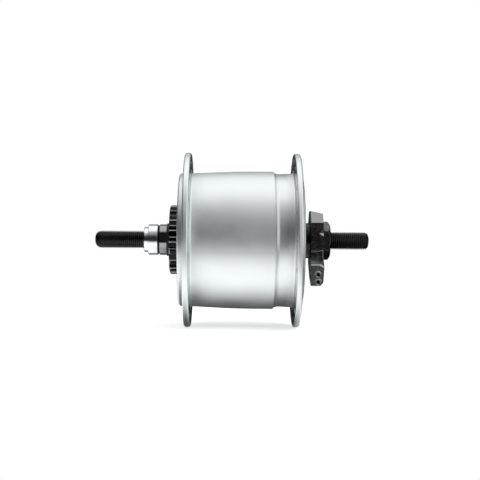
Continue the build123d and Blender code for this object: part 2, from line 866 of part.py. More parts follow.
def make_connector_housing():
    """Housing on the axle, with its tongue, lead channel and terminal slots."""
    bulge_z = (housing_shoulder_z + housing_neck_z) / 2
    wire_side = ThreePointArc(
        (-housing_side_x, housing_shoulder_z),
        (-housing_half_width, bulge_z),
        (-housing_side_x, housing_neck_z),
    )
    foot = Polyline(
        (-housing_side_x, housing_neck_z),
        (-housing_side_x, housing_seam_outer_z),
        (cap_far_top_x, housing_seam_outer_z),
        (housing_side_x, housing_neck_z),
    )
    far_side = ThreePointArc(
        (housing_side_x, housing_neck_z),
        (housing_half_width, bulge_z),
        (housing_side_x, housing_shoulder_z),
    )
    top = Polyline(
        (housing_side_x, housing_shoulder_z),
        (housing_top_half_width, housing_top_z),
        (-housing_top_half_width, housing_top_z),
        (-housing_side_x, housing_shoulder_z),
    )
    outline = make_face(wire_side + foot + far_side + top)
    profile = make_face(Polyline(
        (connector_inner_y, housing_top_z),
        (connector_outer_y, housing_top_outer_z),
        (connector_outer_y, housing_seam_outer_z),
        (housing_seam_bend_y, housing_seam_z),
        (connector_inner_y, housing_seam_z),
        close=True,
    ))
    body = along_axle(outline, connector_inner_y, connector_outer_y)
    body &= across_axle(profile, housing_half_width + overrun)
    front = body.edges().filter_by(Axis.Z).filter_by_position(Axis.Y, connector_outer_y, connector_outer_y)
    body = chamfer(front, housing_edge_round)
    tongue = make_face(Polyline(
        (tongue_wire_side_x, housing_seam_z + overrun),
        (tongue_wire_side_x, tongue_end_z),
        (tongue_foot_x, tongue_end_z),
        (tongue_far_side_x, tongue_corner_z),
        (tongue_far_side_x, housing_seam_z + overrun),
        close=True,
    ))
    body += along_axle(tongue, tongue_inner_y, tongue_outer_y)
    channel_half = lead_spread + lead_r + lead_channel_clearance
    channel_y = (
        lead_rise_y + lead_r + lead_channel_clearance,
        lead_rise_y - lead_r - lead_channel_clearance,
    )
    body -= box_between((-channel_half, channel_half), channel_y, (-lead_axle_r, lead_end_z))
    bend_y = (connector_inner_y - overrun, channel_y[1])
    bend_z = (-lead_axle_r - lead_bend_r, -lead_groove_floor_r)
    body -= box_between((-channel_half, channel_half), bend_y, bend_z)
    bore_r = thread_r + housing_bore_clearance
    body -= tube(bore_r, 0, connector_outer_y - overrun, connector_inner_y + overrun)
    for terminal in make_terminals():
        body -= terminal
    return body


def cap_section():
    """Outside of the cap, before its hollow and holes."""
    top_z = housing_seam_z - cap_seam_gap
    top_outer_z = housing_seam_outer_z - cap_seam_gap
    outline = make_face(Polyline(
        (cap_wire_face_x, housing_seam_z),
        (cap_wire_face_x, cap_bottom_z),
        (cap_foot_x, cap_bottom_z),
        (cap_far_mid_x, cap_far_mid_z),
        (cap_far_top_x, top_z),
        (cap_far_top_x, housing_seam_z),
        close=True,
    ))
    profile = make_face(Polyline(
        (connector_inner_y, top_z),
        (housing_seam_bend_y, top_z),
        (connector_outer_y, top_outer_z),
        (connector_outer_y, cap_chamfer_z),
        (cap_chamfer_y, cap_bottom_z),
        (connector_inner_y, cap_bottom_z),
        close=True,
    ))
    body = along_axle(outline, connector_inner_y, connector_outer_y)
    return body & across_axle(profile, housing_half_width + overrun)


def make_connector_cap():
    """Cap that grips the lamp's two wires and slides on the tongue from below."""
    body = cap_section()
    hollow = make_face(Polyline(
        (tongue_wire_side_x - cap_play, housing_seam_z),
        (tongue_wire_side_x - cap_play, tongue_end_z - cap_end_room),
        (tongue_foot_x + cap_play, tongue_end_z - cap_end_room),
        (tongue_far_side_x + cap_end_room, tongue_corner_z - cap_play),
        (tongue_far_side_x + cap_end_room, housing_seam_z),
        close=True,
    ))
    hollow_inner = tongue_inner_y + cap_play
    hollow_outer = tongue_outer_y - terminal_thickness - cap_wire_room
    body -= along_axle(hollow, hollow_inner, hollow_outer)
    for z in (wire_hole_upper_z, wire_hole_lower_z):
        rim = rod_along_x(wire_rim_r, (cap_wire_face_x - wire_rim_height, cap_wire_face_x), wire_hole_y, z)
        body += rim
    inner_x = cap_wire_face_x + wire_hole_depth
    outer_x = cap_wire_face_x - overrun
    hollow_x = tongue_wire_side_x - cap_play
    body -= rod_along_x(wire_hole_r, (outer_x, hollow_x), wire_hole_y, wire_hole_upper_z)
    body -= rod_along_x(wire_hole_r, (outer_x, inner_x), wire_hole_y, wire_hole_lower_z)
    riser_y = (wire_hole_y + wire_riser_width / 2, hollow_outer)
    riser_x = (inner_x - wire_riser_width, inner_x)
    body -= box_between(riser_x, riser_y, (wire_hole_lower_z, tongue_end_z))
    return body


def make_connector_washer():
    """Thin steel washer between the connector and its nut."""
    return tube(connector_washer_r, thread_r + washer_clearance, right_nut_seat_y, connector_outer_y)


def make_right_lock_nut():
    """Hexagon nut that locks the connector and cone, chamfered on its outer face."""
    blank = along_axle(hexagon(right_nut_flats), right_nut_seat_y, right_nut_face_y)
    corner_r = right_nut_flats / sqrt(3)
    envelope = turned([
        (thread_pitch_r, right_nut_seat_y),
        (corner_r + overrun, right_nut_seat_y),
        (corner_r + overrun, right_nut_face_y + right_nut_chamfer),
        (corner_r, right_nut_face_y + right_nut_chamfer),
        (right_nut_chamfer_r, right_nut_face_y),
        (nut_mouth_r, right_nut_face_y),
        (thread_pitch_r, right_nut_face_y + nut_mouth_depth),
    ])
    return blank & envelope


parts = {
    "axle": make_axle(),
    "left_lock_nut": make_left_lock_nut(),
    "left_washer": make_left_washer(),
    "left_cone": make_left_cone(),
    "left_dust_cap": make_dust_cap(left_dust_cap_r, left_cone_neck_y, left_dust_cap_y, 1),
    "right_cone": make_cone(right_row_y, -1, connector_inner_y),
    "right_dust_cap": make_dust_cap(right_dust_cap_r, connector_inner_y, right_dust_cap_in, -1),
    "connector_housing": make_connector_housing(),
    "connector_terminals": joined(make_terminals()),
    "connector_washer": make_connector_washer(),
    "right_lock_nut": make_right_lock_nut(),
    "lead_wires": make_lead_wires(),
    "stator_core": make_stator_core(),
    "left_pole_yoke": make_pole_yoke(stator_left_y, 1, 0),
    "right_pole_yoke": make_right_pole_yoke(),
    "coil_bobbin": make_coil_bobbin(),
    "coil_winding": make_coil_winding(),
    "stator_washer": make_stator_washer(),
    "stator_nut": make_stator_nut(),
    "hub_shell": make_hub_shell(),
    "brake_spline_boss": make_brake_spline_boss(),
    "right_end_cover": make_right_end_cover(),
    "cover_seal": make_cover_seal(),
    "left_bearing_cup": make_cup(left_row_y, 1),
    "right_bearing_cup": make_cup(right_row_y, -1),
    "left_seal": make_seal(left_row_y, 1),
    "right_seal": make_seal(right_row_y, -1),
    "magnet_yoke_ring": make_magnet_yoke_ring(),
    "magnet_arcs": make_magnet_arcs(),
    "left_balls": make_balls(left_row_y),
    "left_ball_retainer": make_retainer(left_row_y, 1),
    "right_balls": make_balls(right_row_y),
    "right_ball_retainer": make_retainer(right_row_y, -1),
    "connector_cap": make_connector_cap(),
}

for name, shape in parts.items():
    export_step(shape, f"parts/{name}.step")
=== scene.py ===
"""Finished model of a bicycle's hub dynamo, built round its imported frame.

Sizes are in millimetres while a piece is shaped, and a finished piece is in metres, as the frame is.
The spin axis is Y. +Y is the brake side, -Y the connector side, +Z is up, and the wire holes face -X.
"""

import logging
from collections.abc import Iterable
from dataclasses import dataclass
from enum import Enum
from math import atan2, cos, hypot, pi, radians, sin, sqrt, tau

import bmesh
import bpy
from mathutils import Matrix, Vector


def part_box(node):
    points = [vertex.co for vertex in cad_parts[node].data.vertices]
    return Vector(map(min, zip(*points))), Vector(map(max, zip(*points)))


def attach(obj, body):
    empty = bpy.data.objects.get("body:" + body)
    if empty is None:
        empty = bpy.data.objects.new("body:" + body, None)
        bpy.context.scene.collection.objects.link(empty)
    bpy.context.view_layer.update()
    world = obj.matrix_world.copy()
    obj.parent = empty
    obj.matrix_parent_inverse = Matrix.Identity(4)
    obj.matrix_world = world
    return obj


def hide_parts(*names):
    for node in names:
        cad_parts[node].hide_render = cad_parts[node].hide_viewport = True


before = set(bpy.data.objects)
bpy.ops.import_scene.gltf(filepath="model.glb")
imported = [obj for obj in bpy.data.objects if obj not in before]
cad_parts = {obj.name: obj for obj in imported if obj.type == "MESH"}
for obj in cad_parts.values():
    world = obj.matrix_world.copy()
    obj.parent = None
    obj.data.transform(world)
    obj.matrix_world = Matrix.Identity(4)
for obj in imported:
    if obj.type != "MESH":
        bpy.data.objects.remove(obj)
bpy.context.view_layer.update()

LOG = logging.getLogger("hub_dynamo")
MM = 0.001
SPIN_AXIS = Vector((0, 1, 0))
TURN_DOUBLINGS = 3
# Vertices this close are one, and a vertex this near a plane lies on it, in millimetres.
MERGE = 1e-4
NEAR = 10 * MERGE
# Triangles that meet at less than this belong to one flat face.
FLAT_ANGLE = radians(0.3)
# Nearly all of a noise lies in this range, and a wave repeats at this length when its scale is 1.
CLOUD_SPREAD = (0.3, 0.7)
WAVE_WIDTH = 0.314
Shape = bmesh.types.BMesh
Vert = bmesh.types.BMVert
Edge = bmesh.types.BMEdge
Node = bpy.types.Node
Socket = bpy.types.NodeSocket
Inputs = dict[int | str, object]
Color = tuple[float, float, float]


class Body(Enum):
    """The bodies of the frame that the finished pieces ride on."""

    AXLE = "axle_assembly"
    SHELL = "shell_assembly"
    CAP = "cap_assembly"


class Pattern(Enum):
    """How the fine relief of a finish runs over its surface."""

    TURNED = "rings round the spin axis"
    MOULDED = "even grain"
    WOUND = "turns of wire side by side"


@dataclass(frozen=True)
class Fade:
    """A smooth change from start, where a value is at low, to end, where it is at high."""

    low: float
    high: float
    start: float = 0.0
    end: float = 1.0


class Nodes:
    """Adds and links the nodes of one tree."""

    def __init__(self, tree: bpy.types.NodeTree) -> None:
        """Starts from an empty tree."""
        self.tree = tree
        tree.nodes.clear()

    def add(self, kind: str, inputs: Inputs | None = None, **settings: object) -> Node:
        """Adds a node.

        Args:
            kind: the node's type.
            inputs: a socket, a number or a colour for each input that is set.
            settings: the node's own properties.

        Returns:
            The new node.
        """
        node = self.tree.nodes.new(kind)
        for key, value in settings.items():
            setattr(node, key, value)
        for key, value in (inputs or {}).items():
            if isinstance(value, Socket):
                self.tree.links.new(value, node.inputs[key])
            else:
                node.inputs[key].default_value = value
        return node

    def math(self, operation: str, first: object, *others: object) -> Socket:
        """Joins values by one operation, from the first on.

        Args:
            operation: the Math node's operation.
            first: a socket or a number.
            others: more of them, or none for an operation of one value.

        Returns:
            The last node's result.
        """
        result = first
        for other in others or (0.0,):
            result = self.add("ShaderNodeMath", {0: result, 1: other}, operation=operation).outputs[0]
        return result

    def ramp(self, value: Socket, fade: Fade) -> Socket:
        """Maps a value through a fade."""
        ends = {"From Min": fade.low, "From Max": fade.high, "To Min": fade.start, "To Max": fade.end}
        node = self.add("ShaderNodeMapRange", {"Value": value, **ends}, interpolation_type="SMOOTHSTEP")
        return node.outputs["Result"]

    def mix(self, kind: str, share: Socket, value: Socket, other: object) -> Socket:
        """Mixes a share of a fixed number, of kind FLOAT, or colour, of kind RGBA, into a value."""
        inputs = {"Factor": share, "A": value, "B": other}
        return self.add("ShaderNodeMix", inputs, data_type=kind).outputs["Result"]

    def split(self, vector: Socket) -> tuple[Socket, ...]:
        """Gives a vector's X, Y and Z."""
        return tuple(self.add("ShaderNodeSeparateXYZ", {0: vector}).outputs)


@dataclass(frozen=True)
class Band:
    """A range of distances from the spin axis, or of places along it, with a look of its own."""

    color: Color
    roughness: float
    low: float
    high: float
    blend: float = 0.1
    along: bool = False


@dataclass(frozen=True)
class Finish:
    """One surface finish, made as a procedural material.

    Lengths are in millimetres: grain is the width of the finest relief, relief its depth and cloud the
    width of the slow changes of tone and sheen.
    """

    slot: str
    color: Color
    roughness: float
    metallic: float = 0.0
    ior: float = 1.5
    coat: float = 0.0
    coat_roughness: float = 0.15
    pattern: Pattern = Pattern.MOULDED
    grain: float = 0.4
    relief: float = 0.01
    cloud: float = 5.0
    tone_change: float = 0.08
    roughness_change: float = 0.05
    bands: tuple[Band, ...] = ()
    variant: str = "finish"

    def material(self) -> bpy.types.Material:
        """Builds the material, or gives the one already built.

        Returns:
            The finish's material.
        """
        name = f"{self.slot}_{self.variant}"
        made = bpy.data.materials.get(name)
        if not made:
            made = bpy.data.materials.new(name)
            made.use_nodes = True
            FinishNodes(made.node_tree, self).fill()
        return made


class FinishNodes(Nodes):
    """The nodes of one finish, which follow the piece's own coordinates."""

    def __init__(self, tree: bpy.types.NodeTree, finish: Finish) -> None:
        """Starts from an empty tree with the coordinates.

        Args:
            tree: the tree to fill.
            finish: the finish to give it.
        """
        super().__init__(tree)
        self.finish = finish
        self.place = self.add("ShaderNodeTexCoord").outputs["Object"]

    def fill(self) -> None:
        """Adds the surface, with the look of each band mixed in."""
        finish, tone, sheen = self.finish, self.tone(), self.sheen()
        for band in finish.bands:
            share = self.band_share(band)
            tone = self.mix("RGBA", share, tone, (*band.color, 1))
            sheen = self.mix("FLOAT", share, sheen, band.roughness)
        shader = self.add("ShaderNodeBsdfPrincipled", {
            "Base Color": tone, "Roughness": sheen, "Normal": self.bump(), "Metallic": finish.metallic,
            "IOR": finish.ior, "Coat Weight": finish.coat, "Coat Roughness": finish.coat_roughness,
        })
        self.add("ShaderNodeOutputMaterial", {"Surface": shader.outputs[0]})

    def noise(self, place: Socket, size: float, detail: float) -> Socket:
        """Gives noise about 0.5, with blotches of a size in millimetres and some finer layers."""
        inputs = {"Vector": place, "Scale": 1 / (size * MM), "Detail": detail}
        return self.add("ShaderNodeTexNoise", inputs, noise_dimensions="3D").outputs["Fac"]

    def radius(self) -> Socket:
        """Gives the distance from the spin axis."""
        flat = self.add("ShaderNodeVectorMath", {0: self.place, 1: (1, 0, 1)}, operation="MULTIPLY")
        return self.add("ShaderNodeVectorMath", {0: flat.outputs[0]}, operation="LENGTH").outputs["Value"]

    def along(self) -> Socket:
        """Gives the place along the spin axis."""
        return self.split(self.place)[1]

    def rings(self) -> Socket:
        """Gives coordinates that are alike all round the spin axis, so that noise on them is rings."""
        return self.add("ShaderNodeCombineXYZ", {"X": self.radius(), "Y": self.along()}).outputs[0]

    def tone(self) -> Socket:
        """Gives the colour, with its slow change of tone.

        Returns:
            The colour.
        """
        cloud = self.noise(self.place, self.finish.cloud, detail=3.0)
        share = self.ramp(cloud, Fade(*CLOUD_SPREAD, 1 - self.finish.tone_change, 1.0))
        inputs = {0: self.finish.color, "Scale": share}
        return self.add("ShaderNodeVectorMath", inputs, operation="SCALE").outputs[0]

    def sheen(self) -> Socket:
        """Gives the roughness, with its slow change.

        Returns:
            The roughness.
        """
        cloud = self.noise(self.place, self.finish.cloud / 2, detail=4.0)
        middle, change = self.finish.roughness, self.finish.roughness_change
        return self.ramp(cloud, Fade(*CLOUD_SPREAD, middle - change, middle + change))

    def band_share(self, band: Band) -> Socket:
        """Gives how much of a band's look a point has.

        Args:
            band: the band.

        Returns:
            The share, from 0 to 1.
        """
        value = self.along() if band.along else self.radius()
        start = self.ramp(value, Fade((band.low - band.blend) * MM, band.low * MM))
        end = self.ramp(value, Fade(band.high * MM, (band.high + band.blend) * MM, 1.0, 0.0))
        return self.math("MULTIPLY", start, end)

    def bump(self) -> Socket:
        """Gives the normal with the finish's fine relief.

        Returns:
            The bumped normal.
        """
        finish = self.finish
        if finish.pattern is Pattern.WOUND:
            inputs = {"Vector": self.place, "Scale": WAVE_WIDTH / (finish.grain * MM)}
            wave = self.add(
                "ShaderNodeTexWave", inputs, wave_type="BANDS", bands_direction="Y", wave_profile="SIN",
            )
            height = wave.outputs["Fac"]
        else:
            follows = self.rings() if finish.pattern is Pattern.TURNED else self.place
            height = self.noise(follows, finish.grain, detail=2.0)
        return self.add("ShaderNodeBump", {"Height": height, "Distance": finish.relief * MM}).outputs[0]


class Finishes:
    """The finishes of this hub, by the record's slot names."""

    SATIN_ALUMINIUM = Finish(
        "satin_aluminium", (0.825, 0.865, 0.862), 0.475, metallic=1.0, pattern=Pattern.TURNED, grain=0.45,
        relief=0.004, cloud=14.0, tone_change=0.03, roughness_change=0.02,
        bands=(
            Band((0.775, 0.815, 0.812), 0.4, -27.5, -21.4, blend=0.3, along=True),
            # Flange faces: smoother, as machined, and a darker colour that is painted shade standing in for
            # their dark reflections.
            Band((0.66, 0.70, 0.70), 0.22, 35.9, 43.4, blend=0.5),
        ),
    )
    BLACK_OXIDE = Finish(
        "black_oxide_steel", (0.12, 0.12, 0.124), 0.22, metallic=1.0, pattern=Pattern.TURNED, grain=0.3,
        relief=0.003, cloud=2.0, tone_change=0.3,
    )
    AXLE_OXIDE = Finish(
        "black_oxide_steel", (0.016, 0.016, 0.017), 0.24, metallic=1.0, pattern=Pattern.TURNED, grain=0.3,
        relief=0.003, cloud=2.0, tone_change=0.4, bands=(Band((0.06, 0.06, 0.063), 0.22, 4.4, 5.0),),
        variant="axle",
    )
    BRIGHT_PLATE = Finish(
        "bright_nut_steel", (0.80, 0.81, 0.82), 0.2, metallic=1.0, pattern=Pattern.TURNED, grain=0.5,
        relief=0.002, cloud=3.0, tone_change=0.05, roughness_change=0.03,
    )
    GROUND_STEEL = Finish(
        "cone_steel", (0.31, 0.315, 0.32), 0.16, metallic=1.0, pattern=Pattern.TURNED, grain=0.35,
        relief=0.002, cloud=2.0, tone_change=0.1,
    )
    BEARING_STEEL = Finish(
        "bearing_steel", (0.70, 0.71, 0.73), 0.1, metallic=1.0, pattern=Pattern.TURNED, relief=0.001,
        tone_change=0.04,
    )
    BOSS_STEEL = Finish(
        "boss_steel", (0.022, 0.022, 0.024), 0.2, metallic=1.0, grain=0.25, relief=0.003, cloud=2.5,
        # The band on the teeth's shoulders is a lighter colour that paints highlight strokes on the dark
        # serrations.
        tone_change=0.25, bands=(Band((0.29, 0.29, 0.295), 0.2, 16.95, 17.52, blend=0.06),),
    )
    BLACK_PLASTIC = Finish(
        "black_plastic", (0.004, 0.0036, 0.0044), 0.15, ior=3.1, grain=0.3, relief=0.002, cloud=4.0,
        tone_change=0.2,
    )
    DUST_CAP_PLASTIC = Finish(
        "black_plastic", (0.004, 0.004, 0.0044), 0.2, ior=1.4, grain=0.3, relief=0.002, cloud=4.0,
        tone_change=0.2, variant="dust_cap",
    )
    GREY_PLASTIC = Finish(
        "grey_plastic", (0.072, 0.074, 0.079), 0.2, ior=3.0, grain=0.3, relief=0.006, cloud=3.0,
        tone_change=0.12,
    )
    BLACK_RUBBER = Finish("black_rubber", (0.012, 0.012, 0.012), 0.55, grain=0.35, tone_change=0.2)
    BRASS = Finish(
        "terminal_brass", (0.72, 0.52, 0.22), 0.25, metallic=1.0, grain=0.3, relief=0.003, tone_change=0.1,
    )
    COPPER = Finish(
        "copper_winding", (0.45, 0.16, 0.06), 0.3, metallic=0.8, coat=0.5, pattern=Pattern.WOUND, grain=0.5,
        relief=0.15, tone_change=0.15,
    )
    ELECTRICAL_STEEL = Finish(
        "electrical_steel", (0.35, 0.36, 0.38), 0.42, metallic=1.0, grain=0.5, relief=0.008, tone_change=0.18,
    )
    FERRITE = Finish(
        "ferrite", (0.03, 0.03, 0.033), 0.6, grain=0.25, relief=0.02, cloud=3.0, tone_change=0.3,
    )
    BOBBIN_PLASTIC = Finish("bobbin_plastic", (0.68, 0.66, 0.58), 0.45, relief=0.008, tone_change=0.06)
    LEAD_INSULATION = Finish("lead_insulation", (0.40, 0.02, 0.015), 0.4, grain=0.5, tone_change=0.1)
    ZINC = Finish(
        "zinc_washer", (0.52, 0.53, 0.54), 0.34, metallic=1.0, grain=0.6, relief=0.005, cloud=2.0,
        tone_change=0.2,
    )


@dataclass(frozen=True)
class Corner:
    """One corner of a half section: its distance from the axis, its place along it, and its rounding."""

    radius: float
    place: float
    rounding: float = 0.0


def merge(shape: Shape) -> None:
    """Joins the vertices that lie on each other."""
    bmesh.ops.remove_doubles(shape, verts=shape.verts[:], dist=MERGE)


def face_out(shape: Shape) -> None:
    """Turns the faces of a merged shape outwards."""
    bmesh.ops.recalc_face_normals(shape, faces=shape.faces[:])


def between(start: float, end: float, share: float) -> float:
    """Gives the number that lies a share of the way from start to end."""
    return start + (end - start) * share


def bevel(shape: Shape, geometry: list[Vert | Edge], width: float, segments: int, affect: str) -> None:
    """Rounds a flat face's corners, where affect is VERTICES, or a shape's edges, where it is EDGES."""
    bmesh.ops.bevel(
        shape, geom=geometry, offset=width, offset_type="OFFSET", segments=segments, profile=0.5,
        affect=affect, material=-1, clamp_overlap=True,
    )


def drawn(points: Iterable[Vector]) -> Shape:
    """Draws an open line.

    Args:
        points: the line's points, in order.

    Returns:
        The line.
    """
    shape = bmesh.new()
    verts = [shape.verts.new(point) for point in points]
    for pair in zip(verts, verts[1:]):
        shape.edges.new(pair)
    return shape


def spin(
    shape: Shape, angle: float, steps: int, centre: Vector = Vector(), axis: Vector = SPIN_AXIS,
    rise: float = 0.0, closed: bool = False,
) -> None:
    """Spins a line round an axis to a surface, with a rise along the axis at each step."""
    bmesh.ops.spin(
        shape, geom=shape.verts[:] + shape.edges[:], cent=centre, axis=axis, dvec=axis * rise, angle=angle,
        steps=steps, use_merge=closed, use_normal_flip=False, use_duplicate=False,
    )


def double(shape: Shape, move: Matrix) -> None:
    """Adds a moved copy of all that a shape holds.

    Args:
        shape: the shape.
        move: how the copy is moved.
    """
    made = bmesh.ops.duplicate(shape, geom=shape.verts[:] + shape.edges[:] + shape.faces[:])
    copied = [g for g in made["geom"] if isinstance(g, Vert)]
    bmesh.ops.transform(shape, matrix=move, verts=copied)


def turned(corners: list[Corner], steps: int, segments: int = 4) -> Shape:
    """Turns a half section round the spin axis, an eighth of a turn and then in doubled copies.

    Args:
        corners: the section's corners, in order.
        steps: how many steps make a full turn, a multiple of 8.
        segments: how many edges make one rounding.

    Returns:
        The turned shape.
    """
    shape = bmesh.new()
    points = [shape.verts.new((c.radius, c.place, 0)) for c in corners]
    shape.faces.new(points)
    for rounding in sorted({c.rounding for c in corners if c.rounding}):
        chosen = [v for v, c in zip(points, corners) if c.rounding == rounding]
        bevel(shape, chosen, rounding, segments, affect="VERTICES")
    bmesh.ops.delete(shape, geom=shape.faces[:], context="FACES_ONLY")
    part = tau / 2**TURN_DOUBLINGS
    spin(shape, part, steps // 2**TURN_DOUBLINGS)
    for i in range(TURN_DOUBLINGS):
        double(shape, Matrix.Rotation(part * 2**i, 4, "Y"))
    merge(shape)
    return shape


def turned_hole(line: Iterable[tuple[float, float]], centre: Vector, axis: Vector, steps: int) -> Shape:
    """Turns an open line round a hole's own axis.

    Args:
        line: distances from the hole's axis and places along it, from its centre.
        centre: the hole's centre.
        axis: the hole's direction.
        steps: how many steps make a full turn.

    Returns:
        The hole's wall.
    """
    across = axis.orthogonal().normalized()
    wall = drawn(centre + across * out + axis * along for out, along in line)
    spin(wall, tau, steps, centre, axis, closed=True)
    merge(wall)
    return wall


def fill_plane(shape: Shape, place: float) -> None:
    """Fills the open edges at one place along the spin axis, with the holes among them left open."""
    rim = [e for e in shape.edges if e.is_boundary and all(abs(v.co.y - place) < NEAR for v in e.verts)]
    bmesh.ops.triangle_fill(shape, use_beauty=True, use_dissolve=False, edges=rim, normal=SPIN_AXIS)


def trim(shape: Shape, place: float, side: int) -> None:
    """Cuts off what lies beyond a place along the axle, where side is 1 for +Y, and closes the cut."""
    bmesh.ops.bisect_plane(
        shape, geom=shape.verts[:] + shape.edges[:] + shape.faces[:], dist=MERGE, plane_co=(0, place, 0),
        plane_no=(0, side, 0), clear_outer=True, clear_inner=False,
    )
    bmesh.ops.holes_fill(shape, edges=[e for e in shape.edges if e.is_boundary], sides=0)


def pull_in(vert: Vert, limit: float) -> bool:
    """Brings a vertex that lies too far from the spin axis back to a limit.

    Args:
        vert: the vertex.
        limit: the greatest distance from the axis.

    Returns:
        Whether the vertex was moved.
    """
    radius = hypot(vert.co.x, vert.co.z)
    if radius <= limit:
        return False
    vert.co.x *= limit / radius
    vert.co.z *= limit / radius
    return True


def built(node: str) -> Shape:
    """Copies a built piece's mesh in millimetres, with its triangles joined to whole faces.

    Args:
        node: the piece's node.

    Returns:
        The copy.
    """
    shape = bmesh.new()
    shape.from_mesh(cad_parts[node].data)
    bmesh.ops.scale(shape, vec=(1 / MM,) * 3, verts=shape.verts[:])
    merge(shape)
    bmesh.ops.dissolve_limit(shape, angle_limit=FLAT_ANGLE, verts=shape.verts[:], edges=shape.edges[:])
    return shape


def as_mesh(shape: Shape, name: str) -> bpy.types.Mesh:
    """Makes a mesh of a shape and frees the shape.

    Args:
        shape: the shape.
        name: the mesh's name.

    Returns:
        The mesh.
    """
    mesh = bpy.data.meshes.new(name)
    shape.to_mesh(mesh)
    shape.free()
    return mesh


def weld(shape: Shape, other: Shape) -> None:
    """Adds another shape's faces to a shape and frees the other.

    Args:
        shape: the shape that grows.
        other: the shape that is added.
    """
    mesh = as_mesh(other, "weld")
    shape.from_mesh(mesh)
    bpy.data.meshes.remove(mesh)


def placed(name: str, data: bpy.types.ID) -> bpy.types.Object:
    """Adds an object to the scene.

    Args:
        name: the object's name.
        data: its mesh, light or camera.

    Returns:
        The object.
    """
    made = bpy.data.objects.new(name, data)
    bpy.context.scene.collection.objects.link(made)
    return made


@dataclass(frozen=True)
class Piece:
    """A finished piece: what it stands for, what carries it and how it is finished.

    Edges that turn by more than sharp, in degrees, stay hard, or are softened over the width edge.
    """

    node: str
    body: Body
    finish: Finish
    edge: float = 0.0
    sharp: float = 32.0

    def make(self, shape: Shape) -> None:
        """Turns a shape in millimetres into the finished object in the node's place.

        Args:
            shape: the shape, which is freed.
        """
        name = f"{self.node}_finished"
        merge(shape)
        face_out(shape)
        bmesh.ops.scale(shape, vec=(MM, MM, MM), verts=shape.verts[:])
        mesh = as_mesh(shape, name)
        mesh.shade_smooth()
        mesh.set_sharp_from_angle(angle=radians(self.sharp))
        mesh.materials.append(self.finish.material())
        piece = placed(name, mesh)
        if self.edge:
            soften = piece.modifiers.new("softened_edges", "BEVEL")
            soften.width = self.edge * MM
            soften.segments = 2
            soften.limit_method = "ANGLE"
            soften.angle_limit = radians(self.sharp)
        normals = piece.modifiers.new("flat_faces", "WEIGHTED_NORMAL")
        normals.keep_sharp = True
        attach(piece, self.body.value)
        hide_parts(self.node)
        LOG.info("%s: %d faces on %s", name, len(mesh.polygons), self.body.value)


def reach(node: str) -> tuple[float, float]:
    """Gives a node's lowest and highest place along the axle, in millimetres."""
    low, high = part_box(node)
    return low.y / MM, high.y / MM


def outer_radius(node: str) -> float:
    """Gives the radius of a node that is round about the axle, in millimetres."""
    low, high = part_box(node)
    return min(-low.x, high.x) / MM


